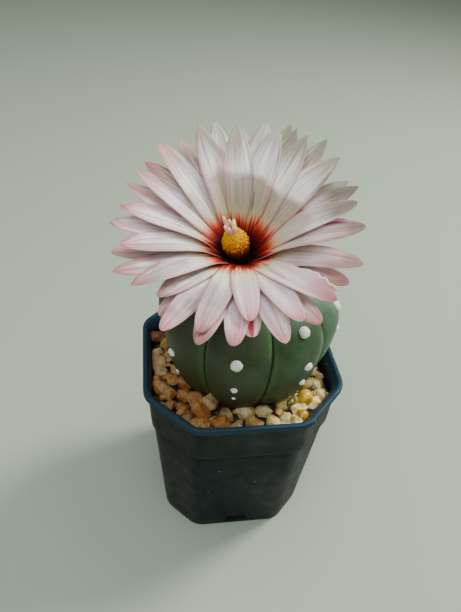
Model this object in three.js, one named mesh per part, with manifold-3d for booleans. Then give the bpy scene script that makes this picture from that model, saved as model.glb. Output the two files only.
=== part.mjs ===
// Potted star cactus in bloom: a round, spineless cactus with eight broad ribs and woolly areoles,
// bedded in gravel in a small eight-sided plastic pot, with one open flower at its crown.
// Sizes are in millimetres and +Z is up. The origin is the middle of the pot's underside,
// and the bloom leans a little toward -Y, which is the front.
import * as THREE from 'three';
import { mergeVertices } from 'three/addons/utils/BufferGeometryUtils.js';
import Module from 'manifold-3d';

const wasm = await Module();
wasm.setup();

// Driving dimensions of the pot
const POT_HEIGHT = 61.6;
const RIM_HALF = 30;            // half the width over two opposite flats of the rim
const RIM_CUT = 14;             // leg of the corner cut off the square, at the rim
const STEP_HEIGHT = 45.3;       // the moulded step in the wall
const STEP_HALF = 27.9;
const STEP_CUT = 12.35;
const STEP_DEPTH = 0.6;         // how far the wall steps in below it
const BASE_HALF = 23.85;
const BASE_CUT = 9.7;
const LIP_HEIGHT = 2.3;
const LIP_OVERHANG = 1.2;       // how far the lip stands out from the wall
const LIP_WIDTH = 2.0;          // flat top of the lip
const WALL = 1.2;
const FLOOR = 1.4;
const CORNER_ROUNDING = 1.6;    // how far from a corner its rounding starts
const SLOT_WIDTH = 7.6;         // arched drain slots at the foot of the four wide walls
const SLOT_HEIGHT = 6.4;
const SLOT_FOOT = 1.2;
const SLOT_SHOULDER = 2.4;      // height at which its sides start to lean in
const SLOT_REACH = 1.8;         // how far a slot reaches in from the foot's edge
const DRAIN_RADIUS = 2.6;       // round drain holes in the floor
const DRAIN_RING = 14;
const CLEARANCE = 0.35;         // gap between two pieces that touch

// Driving dimensions of the plant
const BODY_X = 1.4;             // the plant stands a little off the pot's middle
const BODY_Y = 0.4;
const EQUATOR = 80;             // height of the widest ring
const BODY_RADIUS = 26.5;
const CROWN_HEIGHT = 14;        // from the widest ring up to the crown
const ROOT_DEPTH = 34.3;        // from the widest ring down to the root end
const ROOT_CUT = 0.985;         // share of that depth at which the root end is blunt
const CROWN_DIP = 2.2;          // the woolly crown is sunken
const DIP_RADIUS = 5;
const RIBS = 8;
const RIB_TURN = -15.4;         // azimuth of the front rib's crest, in degrees from -Y toward +X
const GROOVE_DEPTH = 0.13;      // share of the radius
const GROOVE_SHARPNESS = 0.5;   // below 1 the ribs are round and the grooves sharp

// Driving dimensions of the bloom, in its own frame: its axis is local +Z and its front is local -Y
const THROAT = new THREE.Vector3(-3.0, -2.2, 103.8);
const BLOOM_TILT = 12;          // degrees from upright
const BLOOM_HEADING = -12;      // azimuth that it leans to
const PETAL_WIDTH = 7.5;
const FRONT_NARROWING = 0.2;    // share by which the petals right at the front are narrower
const PETAL_THICKNESS = 0.62;
const PETAL_WIDEST = 0.74;      // share of the length at which a petal is widest
const PETAL_FALL = 0.6;         // share of the length at which it starts to narrow to a blunt tip
const PETAL_ROOT = 0.7;         // half widths at the root and at the tip
const PETAL_TIP = 0.3;
const PETAL_SWELL = 0.62;       // below 1 a petal widens sooner after its root
const PETAL_ARCH = 2.2;         // how far the middle of a midrib arches up
const FRONT_ARCH_LOSS = 1.4;    // how much less it does right at the front
const FRONT_SLACK = 2.2;        // how much further out and lower a front petal leaves the throat
const PETAL_CHANNEL = 0.09;     // how far both edges rise, as a share of the half width
const PETAL_ROLL = 0.055;       // how far one edge rises and the other sinks, likewise
const CUP_DEPTH = 9.2;          // the petals' common cup below the throat
const CUP_RIM = -1.6;
const TUBE_DEPTH = 12.6;        // from the throat down to the flower's seat in the crown
const TUBE_RIM = -3.4;
const BUNDLE_LEAN = -15;        // the stamens and style lean to the left, in degrees

// Driving dimensions of the filling
const SOIL_TOP = 51;
const GRAVEL_FLOOR = 51.4;
const GRAVEL_BED = 54.6;
const STONE_LEVEL = 56.6;
const STONE_SPACING = 3.8;
const STONE_TRIES = 6000;

const UP = new THREE.Vector3(0, 0, 1);
const rad = THREE.MathUtils.degToRad;
const mix = THREE.MathUtils.lerp;

// Repeatable random numbers between 0 and 1
function dice(seed) {
  let state = seed;
  return () => {
    state = (state * 1664525 + 1013904223) % 4294967296;
    return state / 4294967296;
  };
}

// Solids: a closed three.js geometry becomes a solid that can be joined and cut, and back
function solid(geometry) {
  const bare = geometry.clone();
  bare.deleteAttribute('normal');
  bare.deleteAttribute('uv');
  const merged = mergeVertices(bare, 1e-4);
  return new wasm.Manifold(new wasm.Mesh({
    numProp: 3,
    vertProperties: new Float32Array(merged.attributes.position.array),
    triVerts: new Uint32Array(merged.index.array),
  }));
}

function geometryOf(body) {
  const pieces = body.decompose().sort((a, b) => b.volume() - a.volume());
  const mesh = pieces[0].getMesh();
  const geometry = new THREE.BufferGeometry();
  geometry.setAttribute('position', new THREE.BufferAttribute(new Float32Array(mesh.vertProperties), 3));
  geometry.setIndex(new THREE.BufferAttribute(new Uint32Array(mesh.triVerts), 1));
  return geometry;
}

function join(bodies) {
  return bodies.reduce((whole, body) => whole.add(body));
}

// A closed surface through rings of equal point counts, counterclockwise seen against their stacking
// direction, with a flat fan closing the first and the last ring
function loft(rings) {
  const count = rings[0].length;
  const points = rings.flat();
  const index = [];
  for (let k = 0; k < rings.length - 1; k += 1) {
    for (let i = 0; i < count; i += 1) {
      const a = k * count + i;
      const b = k * count + (i + 1) % count;
      index.push(a, b, b + count, a, b + count, a + count);
    }
  }
  const last = (rings.length - 1) * count;
  const middle = (ring) => ring.reduce((sum, p) => sum.add(p), new THREE.Vector3()).divideScalar(count);
  points.push(middle(rings[0]), middle(rings[rings.length - 1]));
  for (let i = 0; i < count; i += 1) {
    const next = (i + 1) % count;
    index.push(points.length - 2, next, i);
    index.push(points.length - 1, last + i, last + next);
  }
  const geometry = new THREE.BufferGeometry();
  geometry.setAttribute('position', new THREE.Float32BufferAttribute(points.flatMap((p) => p.toArray()), 3));
  geometry.setIndex(index);
  return geometry;
}

// A turned solid about local +Z through [radius, height] points that start and end on the axis
function turned(profile, sides) {
  const points = profile.map(([r, h]) => new THREE.Vector2(r, h));
  return new THREE.LatheGeometry(points, sides).rotateX(Math.PI / 2);
}

// Pot: a square with its corners cut off, drawn as a ring of points with each corner eased
function octagon(half, cut, z) {
  const corners = [];
  for (let quarter = 0; quarter < 4; quarter += 1) {
    const turn = quarter * Math.PI / 2;
    for (const [x, y] of [[half - cut, -half], [half, cut - half]]) {
      corners.push(new THREE.Vector3(x, y, z).applyAxisAngle(UP, turn));
    }
  }
  const ease = Math.min(CORNER_ROUNDING, cut / 4);
  return corners.flatMap((corner, i) => {
    const before = corners[(i + 7) % 8].clone().sub(corner).setLength(ease);
    const after = corners[(i + 1) % 8].clone().sub(corner).setLength(ease);
    const start = corner.clone().add(before);
    const end = corner.clone().add(after);
    const crown = corner.clone().add(before.add(after).multiplyScalar(0.25));
    return [start, crown, end];
  });
}

// Half width and corner cut of a wall face at a height, straight between its stations
function faceAt(stations, z) {
  const upper = Math.max(1, stations.findIndex(([height]) => z <= height));
  const [low, lowHalf, lowCut] = stations[upper - 1];
  const [high, highHalf, highCut] = stations[upper];
  const t = (z - low) / (high - low);
  return [mix(lowHalf, highHalf, t), mix(lowCut, highCut, t)];
}

const LIP_FOOT = POT_HEIGHT - LIP_HEIGHT;
const WALL_HALF = RIM_HALF - LIP_OVERHANG;
const OUTER_FACE = [
  [0, BASE_HALF, BASE_CUT],
  [STEP_HEIGHT, STEP_HALF - STEP_DEPTH, STEP_CUT],
  [STEP_HEIGHT + 0.5, STEP_HALF, STEP_CUT],
  [LIP_FOOT, WALL_HALF, RIM_CUT],
];
const INNER_FACE = [
  [0, BASE_HALF - WALL, BASE_CUT - WALL * 0.6],
  [STEP_HEIGHT, STEP_HALF - STEP_DEPTH - WALL, STEP_CUT - WALL * 0.6],
  [LIP_FOOT, WALL_HALF - WALL, RIM_CUT - WALL * 0.6],
  [POT_HEIGHT, RIM_HALF - LIP_WIDTH, RIM_CUT - LIP_WIDTH * 0.6],
];

function outerRing(z, inset = 0) {
  const [half, cut] = faceAt(OUTER_FACE, z);
  return octagon(half - inset, cut - inset * 0.6, z);
}

function innerRing(z, gap = 0) {
  const [half, cut] = faceAt(INNER_FACE, z);
  return octagon(half - gap, cut - gap * 0.55, z);
}

function pot() {
  const rimEase = 0.45;
  const outside = [
    outerRing(0, 0.5),
    outerRing(0.5),
    outerRing(STEP_HEIGHT),
    outerRing(STEP_HEIGHT + 0.5),
    outerRing(LIP_FOOT),
    octagon(RIM_HALF, RIM_CUT, LIP_FOOT + 0.3),
    octagon(RIM_HALF, RIM_CUT, POT_HEIGHT - rimEase),
    octagon(RIM_HALF - rimEase, RIM_CUT - rimEase * 0.6, POT_HEIGHT),
  ];
  const inside = [POT_HEIGHT, LIP_FOOT, STEP_HEIGHT, FLOOR].map((z) => innerRing(z));
  let body = solid(loft([...outside, ...inside]));
  for (let side = 0; side < 4; side += 1) {
    body = body.subtract(solid(drainSlot(side * Math.PI / 2)));
    body = body.subtract(solid(drainHole(Math.PI / 4 + side * Math.PI / 2)));
  }
  return geometryOf(body);
}

// An arched tunnel through the foot of one wide wall, just above the floor
function drainSlot(turn) {
  const arch = new THREE.Shape();
  const half = SLOT_WIDTH / 2;
  arch.moveTo(-half, SLOT_FOOT);
  arch.lineTo(half, SLOT_FOOT);
  arch.lineTo(half, SLOT_SHOULDER);
  arch.quadraticCurveTo(half * 0.8, SLOT_HEIGHT, 0, SLOT_HEIGHT);
  arch.quadraticCurveTo(-half * 0.8, SLOT_HEIGHT, -half, SLOT_SHOULDER);
  const tunnel = new THREE.ExtrudeGeometry(arch, { depth: SLOT_REACH + 2, bevelEnabled: false, curveSegments: 3 });
  return tunnel.rotateX(Math.PI / 2).translate(0, SLOT_REACH - BASE_HALF, 0).rotateZ(turn);
}

function drainHole(turn) {
  const hole = new THREE.CylinderGeometry(DRAIN_RADIUS, DRAIN_RADIUS, 3 * FLOOR, 10).rotateX(Math.PI / 2);
  return hole.translate(DRAIN_RING, 0, 0).rotateZ(turn);
}

// Space inside the pot, from one height to another, kept clear of its wall
function potSpace(bottom, top) {
  const heights = [bottom, STEP_HEIGHT, LIP_FOOT, top].filter((z) => z >= bottom && z <= top);
  return solid(loft(heights.map((z) => innerRing(z, CLEARANCE))));
}

// Cactus body: a spheroid with a flatter upper half and a tapering lower one, drawn in at eight grooves.
// The angle is an azimuth from -Y toward +X, and the latitude runs from the root end to the crown.
function bodyPoint(azimuth, latitude, grow = 0) {
  const height = latitude < 0 ? ROOT_DEPTH : CROWN_HEIGHT;
  const phase = Math.abs(Math.cos(RIBS / 2 * rad(azimuth - RIB_TURN)));
  const scallop = 1 - GROOVE_DEPTH * (1 - phase ** GROOVE_SHARPNESS);
  const radius = Math.max(0, BODY_RADIUS * Math.cos(rad(latitude)) * scallop) + grow;
  const dip = latitude > 0 ? CROWN_DIP * Math.exp(-((radius / DIP_RADIUS) ** 2)) : 0;
  return new THREE.Vector3(
    BODY_X + radius * Math.sin(rad(azimuth)),
    BODY_Y - radius * Math.cos(rad(azimuth)),
    EQUATOR + height * Math.sin(rad(latitude)) - dip,
  );
}

// Rings of the body between two latitudes. The points crowd toward the grooves.
function bodyRings(latitudes, perRib, grow = 0) {
  return latitudes.map((latitude) => {
    const ring = [];
    for (let rib = 0; rib < RIBS; rib += 1) {
      for (let i = 0; i < perRib; i += 1) {
        const across = i / perRib * 2 - 1;
        const eased = Math.sign(across) * (1 - (1 - Math.abs(across)) ** 1.5);
        ring.push(bodyPoint(RIB_TURN + (rib + eased / 2) * 360 / RIBS, latitude, grow));
      }
    }
    return ring;
  });
}

// Latitudes of the woolly areoles on each rib's crest, from the front rib counterclockwise seen from above.
// Each one's radius shrinks toward the root, where the oldest wool has worn off.
const AREOLE_ROWS = [
  [52, 37, 7, -14, -22],
  [60, 31, -4, -16],
  [50, 20, -6],
  [58, 34, 10, -12],
  [52, 27, 3, -17],
  [60, 36, 12, -10],
  [50, 24, 2],
  [58, 33, -8, -23],
];

function areoleRadius(latitude) {
  if (latitude < -19) return 0.55;
  if (latitude < -10) return 0.95;
  return latitude < 0 ? 1.25 : 1.6;
}

function areole(rib, latitude) {
  const azimuth = RIB_TURN + rib * 360 / RIBS;
  const seat = bodyPoint(azimuth, latitude);
  const above = bodyPoint(azimuth, latitude + 1).sub(seat);
  const beside = bodyPoint(azimuth + 90, 0).sub(new THREE.Vector3(BODY_X, BODY_Y, EQUATOR));
  const outward = beside.cross(above).normalize();
  const size = areoleRadius(latitude);
  const dome = new THREE.SphereGeometry(size, 6, 3).rotateX(Math.PI / 2).scale(1, 1, 0.72);
  dome.applyQuaternion(new THREE.Quaternion().setFromUnitVectors(UP, outward));
  return dome.translate(seat.x, seat.y, seat.z);
}

function steps(from, to, count) {
  return Array.from({ length: count + 1 }, (_, i) => mix(from, to, i / count));
}

function cactusBody() {
  const lowest = -Math.asin(ROOT_CUT) * 180 / Math.PI;
  const latitudes = [lowest, -66, -52, ...steps(-40, 60, 8), 72, 80, 86.5];
  const parts = [solid(loft(bodyRings(latitudes, 6)))];
  AREOLE_ROWS.forEach((row, rib) => row.forEach((latitude) => parts.push(solid(areole(rib, latitude)))));
  const seat = solid(turned([...tubeOutline(CLEARANCE), [0, TUBE_RIM]], 24).applyMatrix4(bloomPlace));
  return geometryOf(join(parts).subtract(seat));
}

// Room that the soil and the gravel leave for the body
function bodyRoom() {
  const lowest = -Math.asin(ROOT_CUT) * 180 / Math.PI;
  const room = loft(bodyRings([lowest - 1, -68, -56, -46, -37, -28, -10], 6, 0.5)).translate(0, 0, -0.2);
  return solid(room);
}

function pottingSoil() {
  return geometryOf(potSpace(FLOOR + CLEARANCE, SOIL_TOP).subtract(bodyRoom()));
}

// Gravel: a packed bed with a layer of loose-looking stones sunk into it
function crest(z) {
  const below = Math.min(1, (EQUATOR - z) / ROOT_DEPTH);
  return BODY_RADIUS * Math.sqrt(1 - below * below);
}

function inPot(x, y, z, inset) {
  const [half, cut] = faceAt(INNER_FACE, z);
  const reach = half - inset;
  const diagonal = 2 * half - cut - inset * Math.SQRT2;
  return Math.abs(x) < reach && Math.abs(y) < reach && Math.abs(x) + Math.abs(y) < diagonal;
}

// Where the stones lie: random places that keep their spacing, between the body and the wall
function stonePlaces() {
  const next = dice(20);
  const places = [];
  for (let i = 0; i < STONE_TRIES; i += 1) {
    const x = (next() - 0.5) * 2 * RIM_HALF;
    const y = (next() - 0.5) * 2 * RIM_HALF;
    const roomInPot = inPot(x, y, STONE_LEVEL, 1.6);
    const roomAtBody = Math.hypot(x - BODY_X, y - BODY_Y) > crest(STONE_LEVEL) + 0.6;
    const apart = places.every((p) => Math.hypot(p.x - x, p.y - y) > STONE_SPACING);
    if (roomInPot && roomAtBody && apart) places.push({ x, y });
  }
  return places;
}

// The gravel has sunk a little at the right, where the pot's dark wall shows
function stoneLevel(x) {
  return STONE_LEVEL - 1.3 * THREE.MathUtils.smoothstep(x, 6, 26);
}

// One stone: an icosahedron with its corners pushed in or out, flattened and turned
function stone(place, next) {
  const lump = mergeVertices(bareIcosahedron(), 1e-4);
  const corners = lump.attributes.position;
  for (let i = 0; i < corners.count; i += 1) {
    const push = mix(0.8, 1.12, next());
    corners.setXYZ(i, corners.getX(i) * push, corners.getY(i) * push, corners.getZ(i) * push);
  }
  const size = mix(2.6, 3.7, next());
  lump.scale(size, size * mix(0.7, 0.95, next()), size * mix(0.55, 0.8, next()));
  lump.rotateX(mix(-0.5, 0.5, next())).rotateY(mix(-0.5, 0.5, next())).rotateZ(next() * 2 * Math.PI);
  return lump.translate(place.x, place.y, stoneLevel(place.x) + mix(-0.5, 0.7, next()));
}

function bareIcosahedron() {
  const lump = new THREE.IcosahedronGeometry(1, 0);
  lump.deleteAttribute('normal');
  lump.deleteAttribute('uv');
  return lump;
}

function gravel() {
  const next = dice(7);
  const stones = stonePlaces().map((place) => solid(stone(place, next)));
  const bed = potSpace(GRAVEL_FLOOR, GRAVEL_BED);
  let body = join([bed, ...stones]).intersect(potSpace(GRAVEL_FLOOR, POT_HEIGHT - 0.5)).subtract(bodyRoom());
  for (const bead of BEADS) {
    const pocket = beadShape(bead.radius * (1 + 1.3 * CLEARANCE / bead.radius));
    body = body.subtract(solid(pocket.translate(...bead.at)));
  }
  return geometryOf(body);
}

// Coated fertiliser beads, half sunk in the gravel
const BEADS = [
  { name: 'fertiliser_bead_amber', radius: 2.4, at: [18.3, -16.3, 57.4], colour: 0xc9982c },
  { name: 'fertiliser_bead_orange', radius: 1.95, at: [15.6, -22.5, 57.0], colour: 0xcf8f1e },
  { name: 'fertiliser_bead_olive', radius: 1.8, at: [13.2, -18.1, 57.2], colour: 0x8c8a2c },
  { name: 'fertiliser_bead_back', radius: 2.2, at: [-15.5, 20.5, 57.4], colour: 0xc0902a },
];

function beadShape(radius) {
  return new THREE.IcosahedronGeometry(radius, 1);
}

// Petals: [azimuth, length] of each, in three whorls that lie on each other. An azimuth is counted
// in degrees from the bloom's front toward its right.
const INNER = [
  [-4, 30], [15, 34.3], [29, 35.2], [68, 32.5], [82, 31.1], [112, 32.9], [134, 32], [153, 31.8],
  [178, 31.4], [200, 32.7], [222, 34], [242, 32], [263, 31], [283, 31.9], [304, 34], [337, 34.7],
];
const MIDDLE = [
  [8, 36.3], [38, 31.2], [54, 33.1], [75, 30.5], [94, 32.6], [126, 34.5], [143, 33], [161, 33.6], [189, 34.2],
  [210, 32.3], [232, 32.5], [248, 32.9], [269, 33.7], [294, 35.5], [312, 29.5], [324, 36.6], [338, 37.1],
  [350, 35.8],
];
const OUTER = [
  [23, 34.7], [46, 31.5], [103, 31.5], [148, 34.4], [175, 33], [218, 33], [257, 32.7], [281, 33.5], [317, 32],
  [357, 32],
];
const WHORLS = [
  { petals: INNER, rise: 1.4, root: 4.5, lift: 3.5 },
  { petals: MIDDLE, rise: 0, root: 5.25, lift: 0 },
  { petals: OUTER, rise: -1.4, root: 6, lift: -3.5 },
];

// How steeply a petal rises, in degrees above the throat's plane: most at the back
function petalLift(azimuth) {
  return 20 - 12 * Math.cos(rad(azimuth)) + 6 * Math.sin(rad(azimuth));
}

// 1 for a petal right at the front, 0 for one right at the back
function frontShare(azimuth) {
  return 0.5 + 0.5 * Math.cos(rad(azimuth));
}

function halfWidth(azimuth, along) {
  const widest = PETAL_WIDTH / 2 * (1 - FRONT_NARROWING * frontShare(azimuth) ** 2);
  const swell = Math.sin(Math.PI / 2 * Math.min(along / PETAL_WIDEST, 1)) ** PETAL_SWELL;
  const fall = Math.sqrt(1 - Math.max(0, (along - PETAL_FALL) / (1 - PETAL_FALL)) ** 3);
  return Math.max(PETAL_TIP, PETAL_ROOT * (1 - along) + widest * swell * fall);
}

// A petal's midrib as a curve in its own radial plane: up the throat, then arching out to the tip.
// Toward the front it leaves the throat more flatly.
function midrib(azimuth, length, whorl) {
  const front = frontShare(azimuth);
  const lift = rad(petalLift(azimuth) + whorl.lift);
  const reach = length * Math.cos(lift);
  const height = length * Math.sin(lift);
  return new THREE.CubicBezierCurve(
    new THREE.Vector2(whorl.root, CUP_RIM - 1.2),
    new THREE.Vector2(whorl.root + 1 + FRONT_SLACK * front, whorl.rise + 1 - FRONT_SLACK * front),
    new THREE.Vector2(reach * 0.5, height * 0.5 + whorl.rise * 0.6 + PETAL_ARCH - FRONT_ARCH_LOSS * front),
    new THREE.Vector2(reach, height),
  );
}

// One petal: rings of six points run along the midrib, each a channelled strip with a thickness,
// rolled a little so that neighbours overlap like tiles. Both faces are split into like triangles.
function petal([azimuth, length], whorl) {
  const curve = midrib(azimuth, length, whorl);
  const rings = [0, 0.17, 0.4, 0.68, 0.91, 1].map((along) => {
    const at = curve.getPoint(along);
    const tangent = curve.getTangent(along);
    const normal = new THREE.Vector2(-tangent.y, tangent.x);
    const half = halfWidth(azimuth, along);
    const spread = THREE.MathUtils.smoothstep(along, 0.1, 0.5);
    const corner = (side, face) => {
      const edge = spread * half * (PETAL_CHANNEL * side * side + PETAL_ROLL * side);
      const lifted = edge + face * PETAL_THICKNESS / 2;
      return new THREE.Vector3(side * half, -(at.x + normal.x * lifted), at.y + normal.y * lifted);
    };
    return [corner(-1, -1), corner(0, -1), corner(1, -1), corner(1, 1), corner(0, 1), corner(-1, 1)];
  });
  return strip(rings).rotateZ(rad(azimuth));
}

// Closes a run of six-point rings into a slab. Quads on opposite faces share their diagonal's direction.
function strip(rings) {
  const points = rings.flat();
  const index = [];
  const quad = (a, b, c, d, flip) => {
    if (flip) index.push(a, b, d, b, c, d);
    else index.push(a, b, c, a, c, d);
  };
  for (let k = 0; k < rings.length - 1; k += 1) {
    for (let i = 0; i < 6; i += 1) {
      const a = k * 6 + i;
      const b = k * 6 + (i + 1) % 6;
      quad(a, b, b + 6, a + 6, i === 3 || i === 4);
    }
  }
  const last = (rings.length - 1) * 6;
  quad(0, 5, 4, 1, false);
  quad(1, 4, 3, 2, false);
  quad(last, last + 1, last + 4, last + 5, false);
  quad(last + 1, last + 2, last + 3, last + 4, false);
  const geometry = new THREE.BufferGeometry();
  geometry.setAttribute('position', new THREE.Float32BufferAttribute(points.flatMap((p) => p.toArray()), 3));
  geometry.setIndex(index);
  return geometry;
}

// The cup that the petals grow from, as a shell open at the top
function cupOutline(grow) {
  return [
    [0, -CUP_DEPTH - grow], [2.6 + grow, -CUP_DEPTH - grow], [4.6 + grow, -CUP_DEPTH + 1.6],
    [5.9 + grow, -4.2], [6.6 + grow, CUP_RIM],
  ];
}

function petals() {
  const cup = [
    ...cupOutline(0), [4, CUP_RIM], [3.9, -4.2], [3.5, -CUP_DEPTH + 2.2], [2.4, -CUP_DEPTH + 0.9],
    [0, -CUP_DEPTH + 0.9],
  ];
  const parts = [solid(turned(cup, 24))];
  for (const whorl of WHORLS) {
    for (const row of whorl.petals) parts.push(solid(petal(row, whorl)));
  }
  return geometryOf(join(parts).subtract(tubeRoom()));
}

// Flower tube: a scaly green cup seated in the crown, which holds the petals' cup
function tubeOutline(grow) {
  return [
    [0, -TUBE_DEPTH - grow], [3.8 + grow, -TUBE_DEPTH - grow], [5.2 + grow, -TUBE_DEPTH + 2],
    [6.4 + grow, -7], [7.2 + grow, TUBE_RIM],
  ];
}

// Room that the petals leave for the tube round their cup
function tubeRoom() {
  const cup = cupOutline(0).filter(([, height]) => height < -4).reverse();
  const top = TUBE_RIM + CLEARANCE;
  return solid(turned([...tubeOutline(CLEARANCE), [7.5, top], [6.1, top], ...cup], 24));
}

function flowerTube() {
  const socket = cupOutline(CLEARANCE).filter(([, height]) => height < -4).reverse();
  const parts = [solid(turned([...tubeOutline(0), [6.5, TUBE_RIM], ...socket], 24))];
  const rows = [[-8.2, 6.05, 7], [-5.6, 6.7, 8]];
  rows.forEach(([height, radius, count], row) => {
    for (let i = 0; i < count; i += 1) {
      parts.push(solid(scale(height, radius, (i + row / 2) * 360 / count)));
    }
  });
  return geometryOf(join(parts));
}

// A pointed scale that stands a little off the tube
function scale(height, radius, azimuth) {
  const outline = new THREE.ConeGeometry(1.25, 3.4, 4).rotateX(Math.PI / 2).scale(1, 0.45, 1);
  return outline.rotateX(0.28).translate(0, -radius, height + 0.6).rotateZ(rad(azimuth));
}

// Stamens: a bundle round the style, with rings of anthers standing out of it
const BUNDLE_FOOT = -7.6;
const BUNDLE_TOP = 4.4;
const STYLE_RADIUS = 0.6;
const BUNDLE_FOOT_RADIUS = 1.4;
const BUNDLE_SWELL = 1.6;       // how much wider the bundle is at its middle than at its foot

function bundleRadius(height) {
  const share = (height - BUNDLE_FOOT) / (BUNDLE_TOP + 3 - BUNDLE_FOOT);
  return BUNDLE_FOOT_RADIUS + BUNDLE_SWELL * Math.sin(Math.PI * share) ** 1.2;
}

function stamens() {
  const bore = STYLE_RADIUS + CLEARANCE;
  const outside = steps(BUNDLE_FOOT, BUNDLE_TOP, 6).map((height) => [bundleRadius(height), height]);
  const core = [...outside, [bore, BUNDLE_TOP], [bore, BUNDLE_FOOT], outside[0]];
  const parts = [solid(turned(core, 16))];
  for (let ring = 0; ring < 4; ring += 1) {
    const height = 1.2 + ring * 1.05;
    const count = 8 - ring;
    for (let i = 0; i < count; i += 1) {
      const anther = new THREE.OctahedronGeometry(0.85, 0).scale(1, 1, 1.3);
      anther.translate(bundleRadius(height) + 0.25, 0, height);
      parts.push(solid(anther.rotateZ((i + ring / 2) * 2 * Math.PI / count)));
    }
  }
  return geometryOf(join(parts));
}

// Style and stigma: a slender column that ends in six blunt lobes
const LOBE_LENGTH = 3.2;
const LOBE_LEAN = 24;

function styleAndStigma() {
  const column = new THREE.CylinderGeometry(STYLE_RADIUS, STYLE_RADIUS, BUNDLE_TOP + 0.6 - BUNDLE_FOOT, 8);
  column.rotateX(Math.PI / 2).translate(0, 0, (BUNDLE_TOP + 0.6 + BUNDLE_FOOT) / 2);
  const parts = [solid(column)];
  const lobes = 6;
  for (let i = 0; i < lobes; i += 1) {
    const lobe = new THREE.CapsuleGeometry(0.55, LOBE_LENGTH, 1, 6).rotateX(Math.PI / 2);
    lobe.translate(0, 0, LOBE_LENGTH / 2 + 0.2).rotateY(rad(LOBE_LEAN)).translate(0.3, 0, BUNDLE_TOP + 0.35);
    lobe.rotateZ(i * 2 * Math.PI / lobes);
    parts.push(solid(lobe));
  }
  return geometryOf(join(parts));
}

// Assembly
const lean = rad(BLOOM_TILT);
const heading = rad(BLOOM_HEADING);
const axis = new THREE.Vector3(
  Math.sin(lean) * Math.sin(heading),
  -Math.sin(lean) * Math.cos(heading),
  Math.cos(lean),
);
const bloomTurn = new THREE.Quaternion().setFromUnitVectors(UP, axis);
const bloomPlace = new THREE.Matrix4().compose(THROAT, bloomTurn, new THREE.Vector3(1, 1, 1));

function piece(name, geometry, color, roughness) {
  const material = new THREE.MeshStandardMaterial({ color, roughness, metalness: 0 });
  const mesh = new THREE.Mesh(geometry, material);
  mesh.name = name;
  return mesh;
}

const plant = new THREE.Group();
plant.add(piece('pot', pot(), 0x2a3338, 0.38));
plant.add(piece('potting_soil', pottingSoil(), 0x33261d, 0.95));
plant.add(piece('gravel_dressing', gravel(), 0xb98f63, 0.8));
for (const bead of BEADS) {
  const mesh = piece(bead.name, beadShape(bead.radius), bead.colour, 0.3);
  mesh.position.set(...bead.at);
  plant.add(mesh);
}
plant.add(piece('cactus_body', cactusBody(), 0x46613f, 0.6));

const bloom = new THREE.Group();
bloom.position.copy(THROAT);
bloom.quaternion.copy(bloomTurn);
bloom.add(piece('flower_tube', flowerTube(), 0x6b6a45, 0.85));
bloom.add(piece('petals', petals(), 0xdcc9c9, 0.5));

const bundle = new THREE.Group();
bundle.position.set(0.7, 0, BUNDLE_FOOT);
bundle.rotation.y = rad(BUNDLE_LEAN);
const stamenBundle = piece('stamens', stamens(), 0xd9a114, 0.7);
const pistil = piece('style_and_stigma', styleAndStigma(), 0xe8d6b8, 0.5);
stamenBundle.position.z = -BUNDLE_FOOT;
pistil.position.z = -BUNDLE_FOOT;
bundle.add(stamenBundle, pistil);
bloom.add(bundle);
plant.add(bloom);

export default plant;
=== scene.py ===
"""Potted star cactus in bloom: the finished surfaces round the solid model.

Shapes are worked out in millimetres, with +Z up and -Y to the front, and are stored in metres.
"""
import math

import bpy
import numpy as np
from bpy.props import FloatProperty, FloatVectorProperty, IntProperty, PointerProperty
from bpy.types import Operator, Panel, PropertyGroup
from mathutils import Matrix, Vector


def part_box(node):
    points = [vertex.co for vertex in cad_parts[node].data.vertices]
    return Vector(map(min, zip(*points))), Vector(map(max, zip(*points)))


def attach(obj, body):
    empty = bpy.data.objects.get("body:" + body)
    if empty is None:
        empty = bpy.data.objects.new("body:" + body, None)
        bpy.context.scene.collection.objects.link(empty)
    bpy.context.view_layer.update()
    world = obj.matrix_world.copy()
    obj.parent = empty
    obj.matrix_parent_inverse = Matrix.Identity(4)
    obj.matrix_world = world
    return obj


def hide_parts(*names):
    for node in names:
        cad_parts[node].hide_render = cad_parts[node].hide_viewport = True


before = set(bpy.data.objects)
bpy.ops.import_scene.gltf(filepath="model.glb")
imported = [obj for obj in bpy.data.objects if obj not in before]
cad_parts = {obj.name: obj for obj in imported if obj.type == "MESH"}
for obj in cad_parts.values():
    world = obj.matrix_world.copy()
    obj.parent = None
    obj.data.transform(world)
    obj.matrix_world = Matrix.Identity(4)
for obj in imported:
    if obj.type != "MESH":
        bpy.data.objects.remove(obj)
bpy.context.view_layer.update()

bl_info = {
    "name": "Potted Star Cactus",
    "version": (1, 0, 0),
    "blender": (4, 5, 0),
    "location": "3D View > Sidebar > Plant",
    "description": "Grows a star cactus in bloom in its nursery pot",
    "category": "Add Mesh",
}

MM = 0.001

# Pot: half widths over the flats and legs of the cut corners
POT_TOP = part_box("pot")[1][2] / MM
RIM_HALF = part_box("pot")[1][0] / MM
RIM_CUT = 14.0
STEP_HEIGHT = 45.3
STEP_HALF = 27.9
STEP_CUT = 12.35
STEP_DEPTH = 0.6
BASE_HALF = 23.85
BASE_CUT = 9.7
LIP_HEIGHT = 2.3
LIP_OVERHANG = 1.2
LIP_WIDTH = 2.0
LIP_STEP = 0.6                  # how far the lip's outer side starts above the foot of its inner side
LIP_THINNED = 0.6               # how much narrower the lip's rounded top is than the lip
BLUE_FOOT = 1.6                 # how far the lip's blue runs down the wall under it
WALL = 1.2
FLOOR = 1.4
SLOT_WIDTH = 7.6
SLOT_HEIGHT = 6.4
SLOT_FOOT = 1.2
SLOT_REACH = 1.8
DRAIN_RADIUS = 2.6
DRAIN_RING = 14.0
LIP_FOOT = POT_TOP - LIP_HEIGHT
LIP_EDGE = LIP_FOOT + LIP_STEP
WALL_HALF = RIM_HALF - LIP_OVERHANG
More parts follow.
